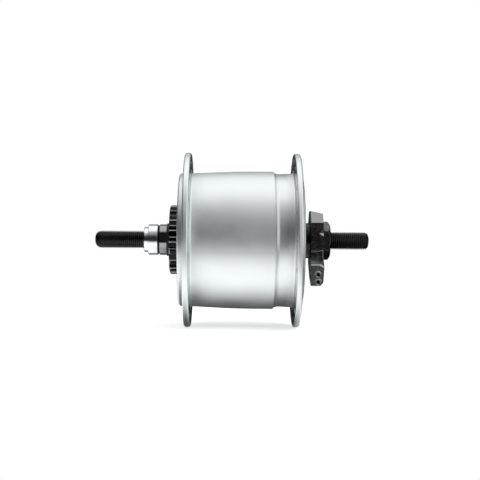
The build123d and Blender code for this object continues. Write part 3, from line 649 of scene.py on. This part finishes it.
@dataclass
class HubShell:
    """The aluminium shell: barrel, two spoke flanges and the end wall of the brake side."""

    barrel_left_r: float = 34.0
    barrel_crown_r: float = 35.1
    barrel_right_r: float = 33.9
    bore_r: float = 31.7
    bore_step_r: float = 30.2
    hub_r: float = 16.6
    lip_r: float = 11.2
    cup_r: float = 14.0
    spigot_r: float = 15.2
    spigot_root_round: float = 0.3
    flange_thickness: float = 3.2
    flange_rim_round: float = 1.0
    right_rim_fall: float = 0.3
    flange_root_round: float = 1.2
    hole_circle_r: float = 40.0
    hole_r: float = 1.3
    hole_sink: float = 0.45
    hole_count: int = 18
    hole_steps: int = 28
    band_margin: float = 0.35
    crown_end: float = -12.0
    curve_steps: int = 14
    step_place: float = -21.0
    step_round: float = 0.08
    groove_width: float = 0.45
    groove_depth: float = 1.3
    valley_place: float = -23.4
    valley_left: float = 0.5
    valley_right: float = 0.3
    end_wall_place: float = 26.8
    end_wall_height: float = 2.8
    end_wall_thickness: float = 4.0
    end_wall_round: float = 1.2
    end_wall_root_round: float = 0.25
    inside_round: float = 0.8
    left_row: float = 24.0
    right_row: float = -28.6
    cup_depth: float = 4.0
    lip_width: float = 1.2
    ring_place: float = 5.4

    def __post_init__(self) -> None:
        """Takes the flanges' places from the frame."""
        self.right_out, self.spigot_end = reach("hub_shell")
        self.flange_r = outer_radius("hub_shell")
        self.right_in = self.right_out + self.flange_thickness
        self.left_out = self.end_wall_place - self.end_wall_height
        self.left_in = self.left_out - self.flange_thickness

    def build(self) -> None:
        """Makes the shell."""
        Piece("hub_shell", Body.SHELL, Finishes.SATIN_ALUMINIUM, sharp=38).make(self.shell())

    def barrel(self) -> list[Corner]:
        """Gives the barrel's line: a gentle swell, a groove and a shallow valley.

        Returns:
            The corners from the left flange's root to the right one's, without the roots.
        """
        swell = self.barrel_crown_r - self.barrel_left_r
        swell_start = self.left_in - self.flange_root_round
        groove_end = self.step_place - self.groove_width
        groove_r = self.barrel_crown_r - self.groove_depth
        floor_r = self.barrel_right_r
        valley_end = self.right_in + self.flange_root_round
        shares = [i / self.curve_steps for i in range(self.curve_steps + 1)]
        crown = [
            Corner(self.barrel_left_r + swell * sin(pi * s / 2), between(swell_start, self.crown_end, s))
            for s in shares[1:]
        ]
        fall = [
            Corner(floor_r + self.valley_left * (1 - s) ** 2, between(groove_end, self.valley_place, s))
            for s in shares[:-1]
        ]
        rise = [
            Corner(floor_r + self.valley_right * s**2, between(self.valley_place, valley_end, s))
            for s in shares[:-1]
        ]
        groove = [
            Corner(self.barrel_crown_r, self.step_place, self.step_round),
            Corner(groove_r, self.step_place),
            Corner(groove_r, groove_end),
        ]
        return crown + groove + fall + rise

    def flange(self, near: float, far: float, band: tuple[float, float], fall: float) -> list[Corner]:
        """Gives one flange's corners, out along its near face and back along its far one.

        Args:
            near: the near face's place.
            far: the far face's place.
            band: the inner and outer radius of the flat band with the spoke holes.
            fall: how much smaller the rim is at its far face.

        Returns:
            The corners, without the roots.
        """
        low, high = band
        rim = self.flange_rim_round
        return [
            Corner(low, near), Corner(high, near), Corner(self.flange_r, near, rim),
            Corner(self.flange_r - fall, far, rim), Corner(high, far), Corner(low, far),
        ]

    def shell(self) -> Shape:
        """Turns the shell and opens its spoke holes.

        Returns:
            The shell's shape.
        """
        root, wall = self.flange_root_round, self.end_wall_place
        band_in = self.hole_circle_r - self.hole_r - self.hole_sink - self.band_margin
        band = (band_in, 2 * self.hole_circle_r - band_in)
        lip = self.left_row - self.cup_depth
        wall_in = wall - self.end_wall_thickness
        shape = turned([
            Corner(self.cup_r, lip),
            Corner(self.cup_r, self.spigot_end),
            Corner(self.spigot_r, self.spigot_end),
            Corner(self.spigot_r, wall, self.spigot_root_round),
            Corner(self.barrel_right_r, wall, self.end_wall_round),
            Corner(self.barrel_right_r, self.left_out, self.end_wall_root_round),
            *self.flange(self.left_out, self.left_in, band, 0.0),
            Corner(self.barrel_left_r, self.left_in, root),
            *self.barrel(),
            Corner(self.barrel_right_r + self.valley_right, self.right_in, root),
            *self.flange(self.right_in, self.right_out, band, self.right_rim_fall),
            Corner(self.bore_r, self.right_out),
            Corner(self.bore_r, self.ring_place),
            Corner(self.bore_step_r, self.ring_place),
            Corner(self.bore_step_r, wall_in, self.inside_round),
            Corner(self.hub_r, wall_in, self.inside_round),
            Corner(self.hub_r, lip - self.lip_width),
            Corner(self.lip_r, lip - self.lip_width),
            Corner(self.lip_r, lip),
        ], steps=288, segments=6)
        self.drill(shape, band)
        return shape

    def drill(self, shape: Shape, band: tuple[float, float]) -> None:
        """Opens the spoke holes in the flat bands of both flanges.

        Args:
            shape: the turned shell.
            band: the bands' inner and outer radius.
        """
        low, high = band[0] - MERGE, band[1] + MERGE
        bands = [f for f in shape.faces if all(low < hypot(v.co.x, v.co.z) < high for v in f.verts)]
        bmesh.ops.delete(shape, geom=bands, context="FACES")
        half = self.flange_thickness / 2
        wall = (
            (self.hole_r + self.hole_sink, -half), (self.hole_r, self.hole_sink - half),
            (self.hole_r, half - self.hole_sink), (self.hole_r + self.hole_sink, half),
        )
        for inner, outer, phase in ((self.left_in, self.left_out, 0.5), (self.right_out, self.right_in, 0.0)):
            for i in range(self.hole_count):
                turn = tau * (i + phase) / self.hole_count
                out = Vector((-self.hole_circle_r * cos(turn), 0, self.hole_circle_r * sin(turn)))
                centre = out + SPIN_AXIS * (inner + outer) / 2
                weld(shape, turned_hole(wall, centre, SPIN_AXIS, self.hole_steps))
            fill_plane(shape, inner)
            fill_plane(shape, outer)


@dataclass
class EndCover:
    """The end cover of the connector side, which plugs into the shell's bore."""

    shell: HubShell
    set_back: float = 0.2
    thickness: float = 4.2
    rim_round: float = 0.9
    inner_round: float = 0.3
    dish_margin: float = 5.9
    dish_depth: float = 0.8
    dish_round: float = 0.4
    plug_length: float = 3.4
    plug_wall: float = 2.6
    seal_place: float = 1.7
    seal_half: float = 1.0
    seal_depth: float = 1.8

    def build(self) -> None:
        """Makes the cover."""
        Piece("right_end_cover", Body.SHELL, Finishes.SATIN_ALUMINIUM).make(self.cover())

    def cover(self) -> Shape:
        """Turns the cover, with its shallow dish outside and its seal's groove.

        Returns:
            The cover's shape.
        """
        shell = self.shell
        face, plug_in = reach("right_end_cover")
        face += self.set_back
        rim_r = outer_radius("right_end_cover")
        dish, dish_r = face + self.dish_depth, rim_r - self.dish_margin
        plate_in = face + self.thickness
        lip = shell.right_row + shell.cup_depth
        plug_end, plug_r = shell.right_out + self.plug_length, shell.bore_r - self.plug_wall
        groove_r = shell.bore_r - self.seal_depth
        groove_start = shell.right_out + self.seal_place - self.seal_half
        groove_end = shell.right_out + self.seal_place + self.seal_half
        return turned([
            Corner(shell.cup_r, face, self.inner_round),
            Corner(shell.hub_r, face, self.inner_round),
            Corner(shell.hub_r + self.dish_depth, dish, self.dish_round),
            Corner(dish_r, dish, self.dish_round),
            Corner(dish_r + self.dish_depth, face, self.dish_round),
            Corner(rim_r, face, self.rim_round),
            Corner(rim_r, shell.right_out),
            Corner(shell.bore_r, shell.right_out),
            Corner(shell.bore_r, groove_start),
            Corner(groove_r, groove_start),
            Corner(groove_r, groove_end),
            Corner(shell.bore_r, groove_end),
            Corner(shell.bore_r, plug_end),
            Corner(plug_r, plug_end),
            Corner(plug_r, plate_in),
            Corner(shell.hub_r, plate_in),
            Corner(shell.hub_r, max(plug_in, lip + shell.lip_width)),
            Corner(shell.lip_r, lip + shell.lip_width),
            Corner(shell.lip_r, lip),
            Corner(shell.cup_r, lip),
        ], steps=256)


@dataclass
class SplineBoss:
    """The serrated boss of the brake side. A share is of half the distance between two teeth."""

    shell: HubShell
    teeth: int = 18
    tooth_steps: int = 28
    tooth_depth: float = 1.3
    crown_fall: float = 0.32
    crown_share: float = 0.44
    flank_share: float = 0.24
    chamfer: float = 0.7
    edge_round: float = 0.3
    bore_round: float = 0.15
    lip: float = 0.5

    def build(self) -> None:
        """Makes the boss."""
        Piece("brake_spline_boss", Body.SHELL, Finishes.BOSS_STEEL, sharp=40).make(self.boss())

    def boss(self) -> Shape:
        """Turns the boss and forms its rounded serrations.

        Returns:
            The boss's shape.
        """
        seat, face = reach("brake_spline_boss")
        tip_r = outer_radius("brake_spline_boss")
        root_r = tip_r - self.tooth_depth
        inner_r, bore_r = self.shell.cup_r, self.shell.spigot_r
        shape = turned([
            Corner(bore_r, seat),
            Corner(tip_r, seat),
            Corner(tip_r, face - self.chamfer, self.edge_round),
            Corner(tip_r - self.chamfer, face, self.edge_round),
            Corner(inner_r, face, self.bore_round),
            Corner(inner_r, face - self.lip),
            Corner(bore_r, face - self.lip),
        ], steps=self.teeth * self.tooth_steps)
        for vert in shape.verts:
            phase = (atan2(vert.co.z, -vert.co.x) * self.teeth / tau) % 1.0
            off_tip = 2 * min(phase, 1 - phase)
            crown_r = tip_r - self.crown_fall * min(off_tip / self.crown_share, 1.0) ** 2
            slope = min(max((off_tip - self.crown_share) / self.flank_share, 0.0), 1.0)
            pull_in(vert, crown_r - (crown_r - root_r) * slope * slope * (3 - 2 * slope))
        return shape


@dataclass
class AxleSet:
    """The axle with its threads, and the turned rings and nuts on it. Angles are in radians."""

    thread_r: float = 4.5
    thread_root_r: float = 3.82
    pitch_r: float = 4.175
    pitch: float = 1.0
    thread_flank: float = 0.38
    thread_crest: float = 0.14
    thread_steps: int = 80
    left_tip: tuple[float, float] = (3.5, 3.9)
    right_tip: tuple[float, float] = (2.2, 3.7)
    mouth: float = 0.15
    nut_step: float = 5.0
    nut_round: float = 0.35
    collar_r: float = 6.3
    collar_root_round: float = 0.2
    washer_play: float = 0.1
    washer_rounds: tuple[float, float] = (0.12, 0.12)
    dust_cap_bore_r: float = 7.8
    dust_cap_rounds: tuple[float, float] = (0.15, 0.3)
    ball_row: float = 24.0
    ball_circle_r: float = 10.6
    race_r: float = 2.42125
    race_step: float = radians(142 / 12)
    race_steps: int = 6
    cone_seat_r: float = 8.0
    cone_rim_r: float = 9.8
    cone_rim_place: float = 3.4
    cone_rim_end: float = 4.3
    cone_neck: float = 33.2
    cone_neck_r: float = 7.8
    cone_round: float = 0.25
    flat_half: float = 7.35
    flat_turn: float = radians(9.0)
    hexagon: float = 17.0
    hexagon_face_r: float = 8.1
    hexagon_chamfer: float = 1.1

    def __post_init__(self) -> None:
        """Takes the nuts' faces and the axle's ends from the frame."""
        self.right_end, self.left_end = reach("axle")
        self.left_seat, self.left_face = reach("left_lock_nut")
        self.right_face, self.right_seat = reach("right_lock_nut")

    def build(self) -> None:
        """Makes the axle and all that is fixed on its ends."""
        body = Body.AXLE
        Piece("axle", body, Finishes.AXLE_OXIDE, sharp=50).make(self.axle())
        Piece("left_lock_nut", body, Finishes.BRIGHT_PLATE).make(self.left_nut())
        bore_r = self.thread_r + self.washer_play
        washers = ("left_washer", Finishes.AXLE_OXIDE), ("connector_washer", Finishes.BLACK_OXIDE)
        for node, finish in washers:
            Piece(node, body, finish).make(self.ring(node, bore_r, self.washer_rounds, steps=144))
        Piece("left_cone", body, Finishes.GROUND_STEEL, sharp=12).make(self.left_cone())
        caps = ("left_dust_cap", Finishes.BLACK_RUBBER), ("right_dust_cap", Finishes.DUST_CAP_PLASTIC)
        for (node, finish), rounds in zip(caps, (self.dust_cap_rounds, self.dust_cap_rounds[::-1])):
            Piece(node, body, finish).make(self.ring(node, self.dust_cap_bore_r, rounds, steps=160))
        Piece("right_lock_nut", body, Finishes.BLACK_OXIDE, edge=0.12, sharp=28).make(self.right_nut())

    def axle(self) -> Shape:
        """Keeps the axle's middle as it is built, and cuts true threads on both ends.

        Returns:
            The axle's shape.
        """
        middle = built("axle")
        left, right = self.left_seat + self.pitch, self.right_seat - self.pitch
        trim(middle, left, 1)
        trim(middle, right, -1)
        weld(middle, self.thread(left, self.left_end, self.left_tip))
        weld(middle, self.thread(right, self.right_end, self.right_tip))
        return middle

    def thread(self, start: float, end: float, tip: tuple[float, float]) -> Shape:
        """Cuts a right-handed thread between two places, with its end rounded.

        Args:
            start: where the thread starts, inside its nut.
            end: the axle's end.
            tip: how far the end's rounding reaches along the axle and towards its axis.

        Returns:
            The threaded length, closed at both ends.
        """
        out = 1 if end > start else -1
        # Two turns more at each end are cut off again.
        low = min(start, end) - 2 * self.pitch
        least = abs(end - start) / self.pitch + 4
        crest_start, crest_end = self.thread_flank, self.thread_flank + self.thread_crest
        root_r, crest_r = self.thread_root_r, self.thread_r
        line = (
            (root_r, 0.0), (crest_r, crest_start), (crest_r, crest_end),
            (root_r, crest_end + self.thread_flank), (root_r, self.pitch),
        )
        shape = drawn(Vector((radius, low + place, 0)) for radius, place in line)
        spin(shape, tau, self.thread_steps, rise=self.pitch / self.thread_steps)
        turns = 1
        while turns < least:
            double(shape, Matrix.Translation((0, turns * self.pitch, 0)))
            turns *= 2
        merge(shape)
        face_out(shape)
        trim(shape, start, -out)
        trim(shape, end, out)
        reach_back, fall = tip
        for vert in shape.verts:
            depth = abs(end - vert.co.y)
            if depth < reach_back:
                pull_in(vert, crest_r - fall * (1 - sqrt(1 - (1 - depth / reach_back) ** 2)))
        return shape

    def left_nut(self) -> Shape:
        """Turns the round, stepped lock nut of the brake side."""
        nut_r, step = outer_radius("left_lock_nut"), self.left_seat + self.nut_step
        return turned([
            Corner(self.pitch_r, self.left_seat),
            Corner(nut_r, self.left_seat, self.nut_round),
            Corner(nut_r, step, self.nut_round),
            Corner(self.collar_r, step, self.collar_root_round),
            Corner(self.collar_r, self.left_face, self.nut_round),
            Corner(self.thread_r + self.mouth, self.left_face),
            Corner(self.pitch_r, self.left_face - self.mouth - self.thread_r + self.pitch_r),
        ], steps=160)

    def ring(self, node: str, bore_r: float, rounds: tuple[float, float], steps: int) -> Shape:
        """Turns a flat ring with softened edges.

        Args:
            node: the ring's node.
            bore_r: the radius of its bore.
            rounds: the roundings of its edge towards -Y and of the one towards +Y.
            steps: how many steps make a full turn.

        Returns:
            The ring's shape.
        """
        low, high = reach(node)
        radius = outer_radius(node)
        return turned([
            Corner(bore_r, low), Corner(radius, low, rounds[0]), Corner(radius, high, rounds[1]),
            Corner(bore_r, high),
        ], steps)

    def left_cone(self) -> Shape:
        """Turns the brake side cone with its race, and cuts its two spanner flats.

        Returns:
            The cone's shape.
        """
        low, face = reach("left_cone")
        row, neck = self.ball_row, self.cone_neck
        angles = [self.race_step * i for i in range(self.race_steps)]
        shape = turned([
            Corner(self.pitch_r, low),
            Corner(self.cone_seat_r, low),
            Corner(self.cone_seat_r, row),
            *(Corner(self.ball_circle_r - self.race_r * cos(a), row + self.race_r * sin(a)) for a in angles),
            Corner(self.cone_rim_r, row + self.cone_rim_place),
            Corner(self.cone_neck_r, row + self.cone_rim_end),
            Corner(self.cone_neck_r, neck),
            Corner(self.cone_neck_r, neck + 2 * NEAR),
            Corner(self.cone_neck_r, face, self.cone_round),
            Corner(self.pitch_r, face),
        ], steps=184)
        side = Vector((cos(self.flat_turn), 0, -sin(self.flat_turn)))
        for vert in shape.verts:
            across = vert.co.dot(side)
            if vert.co.y > neck + MERGE and abs(across) > self.flat_half:
                vert.co += side * across * (self.flat_half / abs(across) - 1)
        return shape

    def right_nut(self) -> Shape:
        """Turns the hexagon nut and brings it to its flats, with the chamfer's arcs.

        Returns:
            The nut's shape.
        """
        corner_r = self.hexagon / sqrt(3)
        blank_r = corner_r + 1
        slope = self.hexagon_chamfer / (corner_r - self.hexagon_face_r)
        mouth_r = self.thread_r + self.mouth
        shape = turned([
            Corner(self.pitch_r, self.right_seat),
            Corner(blank_r, self.right_seat),
            Corner(blank_r, self.right_face),
            Corner(self.hexagon_face_r, self.right_face),
            Corner(mouth_r, self.right_face),
            Corner(self.pitch_r, self.right_face + mouth_r - self.pitch_r),
        ], steps=192)
        middle = (self.right_seat + self.right_face) / 2
        for vert in shape.verts:
            sixth = (atan2(vert.co.z, vert.co.x) + pi / 6) % (pi / 3) - pi / 6
            limit = self.hexagon / 2 / cos(sixth)
            if pull_in(vert, limit) and vert.co.y < middle:
                vert.co.y += (limit - self.hexagon_face_r) * slope
        return shape


@dataclass
class Connector:
    """The two-part plug connector on the axle."""

    side_x: float = 12.3
    bulge: float = 0.25
    bulge_power: int = 10
    shoulder_z: float = 9.0
    crease_z: float = -5.3
    crease_rise: float = 1.1
    crease_depth: float = 0.4
    crease_half: float = 0.4
    foot_fall: float = 0.012
    dent_z: float = 3.4
    dent_half: float = 1.6
    dent_width: float = 2.0
    dent_slope: float = 0.5
    grid: float = 0.25
    columns: int = 20
    wire_face: float = -12.5
    seam_low: float = -13.85
    seam_high: float = -12.1
    housing_rise: float = 0.6
    cap_rise: float = 0.9
    seam_swell: float = 0.5
    seam_corner: float = -44.4
    lip_height: float = 8.5
    lip_cut: float = 0.75
    lip_forward: float = 0.2
    lip_slack: float = 0.05
    lip_top: float = 0.5
    rim_heights: tuple[float, float] = (5.8, 2.0)
    rim_place: float = -43.4
    rim_steps: int = 40
    rim_line: tuple[tuple[float, float], ...] = (
        (0.95, -0.2), (0.95, 0.4), (1.02, 0.54), (1.14, 0.6), (1.26, 0.54), (1.9, 0.04), (1.95, -0.2),
        (0.95, -0.2),
    )

    def __post_init__(self) -> None:
        """Takes the connector's faces from the frame."""
        self.outer, self.inner = reach("connector_housing")
        self.cap_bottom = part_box("connector_cap")[0].z / MM

    def build(self) -> None:
        """Makes the housing and the cap."""
        housing = Piece("connector_housing", Body.AXLE, Finishes.BLACK_PLASTIC, edge=0.12, sharp=28)
        cap = Piece("connector_cap", Body.CAP, Finishes.GREY_PLASTIC, edge=0.12, sharp=28)
        housing.make(self.housing())
        cap.make(self.cap())

    def shape_seam(self, shape: Shape, rise: float) -> None:
        """Raises the edges at the seam of housing and cap, and brings their outer corner out.

        Args:
            shape: the housing's or the cap's shape.
            rise: how far its edges are raised.
        """
        for vert in shape.verts:
            if self.seam_low < vert.co.z < self.seam_high:
                vert.co.z += rise
                share = (self.seam_corner - vert.co.y) / (self.seam_corner - self.outer)
                vert.co.y -= self.seam_swell * max(0.0, share)

    def front(self, place: float, height: float) -> float:
        """Says how far the housing's front stands out at a point.

        Args:
            place: the point's place along the axle.
            height: the point's height.

        Returns:
            The distance from the plane of the housing's side.
        """
        groove = self.crease_depth * max(0.0, 1 - abs(height - self.crease_z) / self.crease_half)
        if height < self.crease_z:
            return self.bulge - groove - self.foot_fall * (self.crease_z - height) ** 2
        share = (self.shoulder_z - height) / (self.shoulder_z - self.crease_z)
        width = self.dent_width * (1 - abs(height - self.dent_z) / self.dent_half)
        dent = self.dent_slope * max(0.0, width - (place - self.outer))
        return self.bulge * (1 - (1 - share) ** self.bulge_power) - groove - dent

    def lift(self, place: float, height: float, foot: float) -> float:
        """Says how far a point of the front is lifted, so that the crease rises towards the nut.

        Args:
            place: the point's place along the axle.
            height: the point's height.
            foot: the height of the front's lower end.

        Returns:
            The lift, which fades towards the front's upper and lower end.
        """
        across = (self.inner - place) / (self.inner - self.outer)
        end = foot if height < self.crease_z else self.shoulder_z
        fade = 1 - abs(height - self.crease_z) / abs(end - self.crease_z)
        return self.crease_rise * across**2 * fade

    def housing(self) -> Shape:
        """Forms the built housing's front with its swell, crease and foot.

        Returns:
            The housing's shape.
        """
        shape = built("connector_housing")
        self.shape_seam(shape, self.housing_rise)

        def is_front(vert: Vert) -> bool:
            """Says whether a vertex lies on the housing's front."""
            return vert.co.x < MERGE - self.side_x and vert.co.z < self.shoulder_z - MERGE

        def cut_front(point: Vector, normal: Vector) -> None:
            """Adds edges across the front where a plane crosses it.

            Args:
                point: a point of the plane.
                normal: the plane's normal.
            """
            faces = [f for f in shape.faces if f.calc_center_median().x < MERGE - self.side_x]
            edges = {e for f in faces for e in f.edges}
            verts = {v for f in faces for v in f.verts}
            geometry = [*verts, *edges, *faces]
            bmesh.ops.bisect_plane(shape, geom=geometry, dist=MERGE, plane_co=point, plane_no=normal)

        foot = min(v.co.z for v in shape.verts if is_front(v))
        rows = [self.crease_z + self.crease_half * i / 2 for i in range(-2, 3)]
        height = self.shoulder_z - self.grid
        while height > foot:
            if abs(height - self.crease_z) > self.crease_half + self.grid / 2:
                rows.append(height)
            height -= self.grid
        for height in rows:
            cut_front(Vector((0, 0, height)), Vector((0, 0, 1)))
        for i in range(1, self.columns):
            cut_front(SPIN_AXIS * between(self.outer, self.inner, i / self.columns), SPIN_AXIS)
        for vert in shape.verts:
            if is_front(vert):
                vert.co.x = -self.side_x - self.front(vert.co.y, vert.co.z)
                vert.co.z += self.lift(vert.co.y, vert.co.z, foot)
        return shape

    def cap(self) -> Shape:
        """Chamfers the built cap's front lip and raises full rims round its two wire holes.

        Returns:
            The cap's shape.
        """
        shape = built("connector_cap")
        self.shape_seam(shape, self.cap_rise)
        face_out(shape)
        lip_z, front = self.cap_bottom + self.lip_height, self.wire_face + NEAR
        lip = [
            e for e in shape.edges
            if len(e.link_faces) == 2 and all(v.co.x < front and v.co.z > lip_z for v in e.verts)
            and max(f.normal.z for f in e.link_faces) > self.lip_top
        ]
        bevel(shape, lip, self.lip_cut, segments=1, affect="EDGES")
        behind = self.wire_face + self.lip_cut
        for vert in shape.verts:
            if abs(vert.co.x - behind) < self.lip_slack and vert.co.z > lip_z:
                vert.co.x -= self.lip_forward
        for up in self.rim_heights:
            centre = Vector((self.wire_face, self.rim_place, self.cap_bottom + up))
            weld(shape, turned_hole(self.rim_line, centre, Vector((-1, 0, 0)), self.rim_steps))
        return shape


@dataclass
class Internals:
    """The pieces inside, which keep their built shape and get their finish."""

    finishes: tuple[tuple[Finish, tuple[str, ...]], ...] = (
        (Finishes.BRASS, ("connector_terminals",)),
        (Finishes.LEAD_INSULATION, ("lead_wires",)),
        (Finishes.ELECTRICAL_STEEL, ("stator_core", "left_pole_yoke", "right_pole_yoke", "magnet_yoke_ring")),
        (Finishes.BOBBIN_PLASTIC, ("coil_bobbin",)),
        (Finishes.COPPER, ("coil_winding",)),
        (Finishes.ZINC, ("stator_washer", "stator_nut", "left_ball_retainer", "right_ball_retainer")),
        (Finishes.GROUND_STEEL, ("right_cone",)),
        (Finishes.BLACK_RUBBER, ("cover_seal", "left_seal", "right_seal")),
        (Finishes.BEARING_STEEL, ("left_bearing_cup", "right_bearing_cup", "left_balls", "right_balls")),
        (Finishes.FERRITE, ("magnet_arcs",)),
    )

    def build(self) -> None:
        """Dresses each built piece in its finish."""
        for finish, nodes in self.finishes:
            for node in nodes:
                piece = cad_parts[node]
                piece.data.materials.clear()
                piece.data.materials.append(finish.material())
                LOG.info("%s: finished as %s", node, finish.slot)


@dataclass
class Studio:
    """Pale table, soft light from above and a camera at the photograph's angle.

    The table's fades are along its sides in metres, and the room's are along a direction of length 1.
    """

    image_size: int = 480
    axle_middle_px: tuple[float, float] = (231.9, 240.1)
    distance: float = 560.0
    lens: float = 81.95
    sensor: float = 36.0
    roll: float = 0.42
    lamp_x: tuple[float, float] = (-200.0, 340.0)
    lamp_half: float = 420.0
    lamp_height: float = 420.0
    lamp_radiance: float = 0.76
    table_half: tuple[float, float] = (200.0, 420.0)
    table_color: tuple[float, ...] = (0.88, 0.88, 0.88, 1)
    table_glow: float = 0.65
    # The next nine fades paint the table's brightness as pieces mirror it: darker far in front, behind and
    # towards the connector, with painted shade under the hub, its flanges and the connector.
    painted_reflection_front: Fade = Fade(-0.2, -0.07, 0.01, 1.35)
    painted_reflection_back: Fade = Fade(0.01, 0.04, 1.0, 0.05)
    painted_reflection_right: Fade = Fade(-0.065, -0.034, 0.12, 1.0)
    painted_shade_left_flange_reach: Fade = Fade(0.015, 0.021, 0.0, 0.012)
    painted_shade_right_flange_reach: Fade = Fade(-0.032, -0.026, 0.012, 0.0)
    painted_hub_shade: Fade = Fade(-0.035, -0.0032, 0.0, 0.92)
    painted_hub_shade_ends: Fade = Fade(0.028, 0.044, 1.0, 0.0)
    painted_shade_connector_side: Fade = Fade(-0.048, -0.042)
    painted_connector_shade: Fade = Fade(-0.004, 0.008, 1.0, 0.03)
    room_overhead: Fade = Fade(0.35, 0.9, 0.02, 0.5)
    room_right: Fade = Fade(-0.45, -0.1, 1.25, 0.0)
    room_front: Fade = Fade(-0.4, 0.0, 1.0, 0.0)
    backdrop_side: Fade = Fade(0.2, 0.4)
    backdrop_middle: Fade = Fade(0.88, 0.95, 1.0, 0.0)
    backdrop_height: Fade = Fade(0.01, 0.04, 1.0, 0.0)

    def build(self) -> None:
        """Sets the table, the light and the camera."""
        self.table()
        self.world()
        self.lamp()
        self.camera()
        view = bpy.context.scene.view_settings
        view.view_transform = "Standard"

    def table(self) -> None:
        """Lays the pale table top under the flanges."""
        low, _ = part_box("hub_shell")
        shape = bmesh.new()
        bmesh.ops.create_grid(shape, x_segments=2, y_segments=2, size=MM)
        bmesh.ops.scale(shape, vec=(*self.table_half, 1), verts=shape.verts[:])
        bmesh.ops.translate(shape, vec=(0, 0, low.z), verts=shape.verts[:])
        top = placed("table_top", as_mesh(shape, "table_top"))
        made = bpy.data.materials.new("table_white")
        made.use_nodes = True
        nodes = Nodes(made.node_tree)
        path = nodes.add("ShaderNodeLightPath").outputs
        straight = nodes.math("MAXIMUM", path["Is Camera Ray"], path["Is Transmission Ray"])
        glow = nodes.math("MULTIPLY", straight, self.table_glow)
        white = nodes.add("ShaderNodeAddShader", {
            0: nodes.add("ShaderNodeBsdfDiffuse", {"Color": self.table_color}).outputs[0],
            1: nodes.add("ShaderNodeEmission", {"Strength": glow}).outputs[0],
        })
        # Glossy rays see a painted reflection of the table, an emission with painted shade, in place of its
        # lit surface.
        mirrored = nodes.add("ShaderNodeEmission", {"Strength": self.painted_table_reflection(nodes)})
        mix = nodes.add("ShaderNodeMixShader", {
            0: path["Is Glossy Ray"], 1: white.outputs[0], 2: mirrored.outputs[0],
        })
        nodes.add("ShaderNodeOutputMaterial", {"Surface": mix.outputs[0]})
        top.data.materials.append(made)

    def painted_table_reflection(self, nodes: Nodes) -> Socket:
        """Paints the table's brightness where a piece mirrors it, with painted shade under the hub and the
        connector.

        Args:
            nodes: the table's nodes.

        Returns:
            The brightness.
        """
        x, y, _ = nodes.split(nodes.add("ShaderNodeTexCoord").outputs["Object"])
        # Painted shade under the hub, reaching further forward under each flange and ending beyond the hub's
        # ends.
        left, right = nodes.ramp(y, self.painted_shade_left_flange_reach), nodes.ramp(y, self.painted_shade_right_flange_reach)
        shade = nodes.ramp(nodes.math("ADD", x, left, right), self.painted_hub_shade)
        ends = nodes.ramp(nodes.math("ABSOLUTE", y), self.painted_hub_shade_ends)
        lit = nodes.math("SUBTRACT", 1.0, nodes.math("MULTIPLY", shade, ends))
        # Painted shade under and behind the connector.
        under = nodes.math(
            "MAXIMUM", nodes.ramp(y, self.painted_shade_connector_side), nodes.ramp(x, self.painted_connector_shade),
        )
        # The painted brightness also falls off far in front, behind and towards the connector's side.
        return nodes.math(
            "MULTIPLY", nodes.ramp(x, self.painted_reflection_front), nodes.ramp(x, self.painted_reflection_back), lit,
            nodes.ramp(y, self.painted_reflection_right), under,
        )

    def world(self) -> None:
        """Makes the room: white to the camera, and for the light bright overhead and at the front's right."""
        world = bpy.data.worlds.new("room")
        world.use_nodes = True
        bpy.context.scene.world = world
        nodes = Nodes(world.node_tree)
        x, y, up = nodes.split(nodes.add("ShaderNodeTexCoord").outputs["Generated"])
        right = nodes.math("MULTIPLY", nodes.ramp(y, self.room_right), nodes.ramp(x, self.room_front))
        path = nodes.add("ShaderNodeLightPath").outputs
        backdrop = nodes.math(
            "MULTIPLY", path["Is Glossy Ray"], nodes.ramp(x, self.backdrop_side),
            nodes.ramp(x, self.backdrop_middle), nodes.ramp(up, self.backdrop_height),
        )
        strength = nodes.math(
            "MAXIMUM", nodes.ramp(up, self.room_overhead), right, path["Is Camera Ray"],
            path["Is Transmission Ray"], backdrop,
        )
        room = nodes.add("ShaderNodeBackground", {"Color": (1, 1, 1, 1), "Strength": strength})
        nodes.add("ShaderNodeOutputWorld", {"Surface": room.outputs[0]})

    def lamp(self) -> None:
        """Hangs a soft flat lamp that looks straight down."""
        light = bpy.data.lights.new("softbox", "AREA")
        light.shape = "RECTANGLE"
        light.size = (self.lamp_x[1] - self.lamp_x[0]) * MM
        light.size_y = 2 * self.lamp_half * MM
        light.energy = self.lamp_radiance * pi * light.size * light.size_y
        placed("softbox", light).location = (sum(self.lamp_x) / 2 * MM, 0, self.lamp_height * MM)

    def camera(self) -> None:
        """Sets the camera level with the axle, square to it and at the photograph's distance."""
        data = bpy.data.cameras.new("camera")
        data.lens = self.lens
        data.sensor_width = self.sensor
        half = self.image_size / 2
        data.shift_x = (half - self.axle_middle_px[0]) / self.image_size
        data.shift_y = (self.axle_middle_px[1] - half) / self.image_size
        data.dof.use_dof = False
        camera = placed("camera", data)
        upright = Matrix.Rotation(radians(-90), 4, "Z") @ Matrix.Rotation(radians(90), 4, "X")
        place = Matrix.Translation((-self.distance * MM, 0, 0))
        camera.matrix_world = place @ upright @ Matrix.Rotation(radians(self.roll), 4, "Z")
        bpy.context.scene.camera = camera


def main() -> None:
    """Builds and dresses the hub, its internals and the studio."""
    logging.basicConfig(level=logging.INFO, format="%(name)s %(message)s")
    shell = HubShell()
    for part in (shell, EndCover(shell), SplineBoss(shell), AxleSet(), Connector(), Internals(), Studio()):
        part.build()


if __name__ == "__main__":
    main()
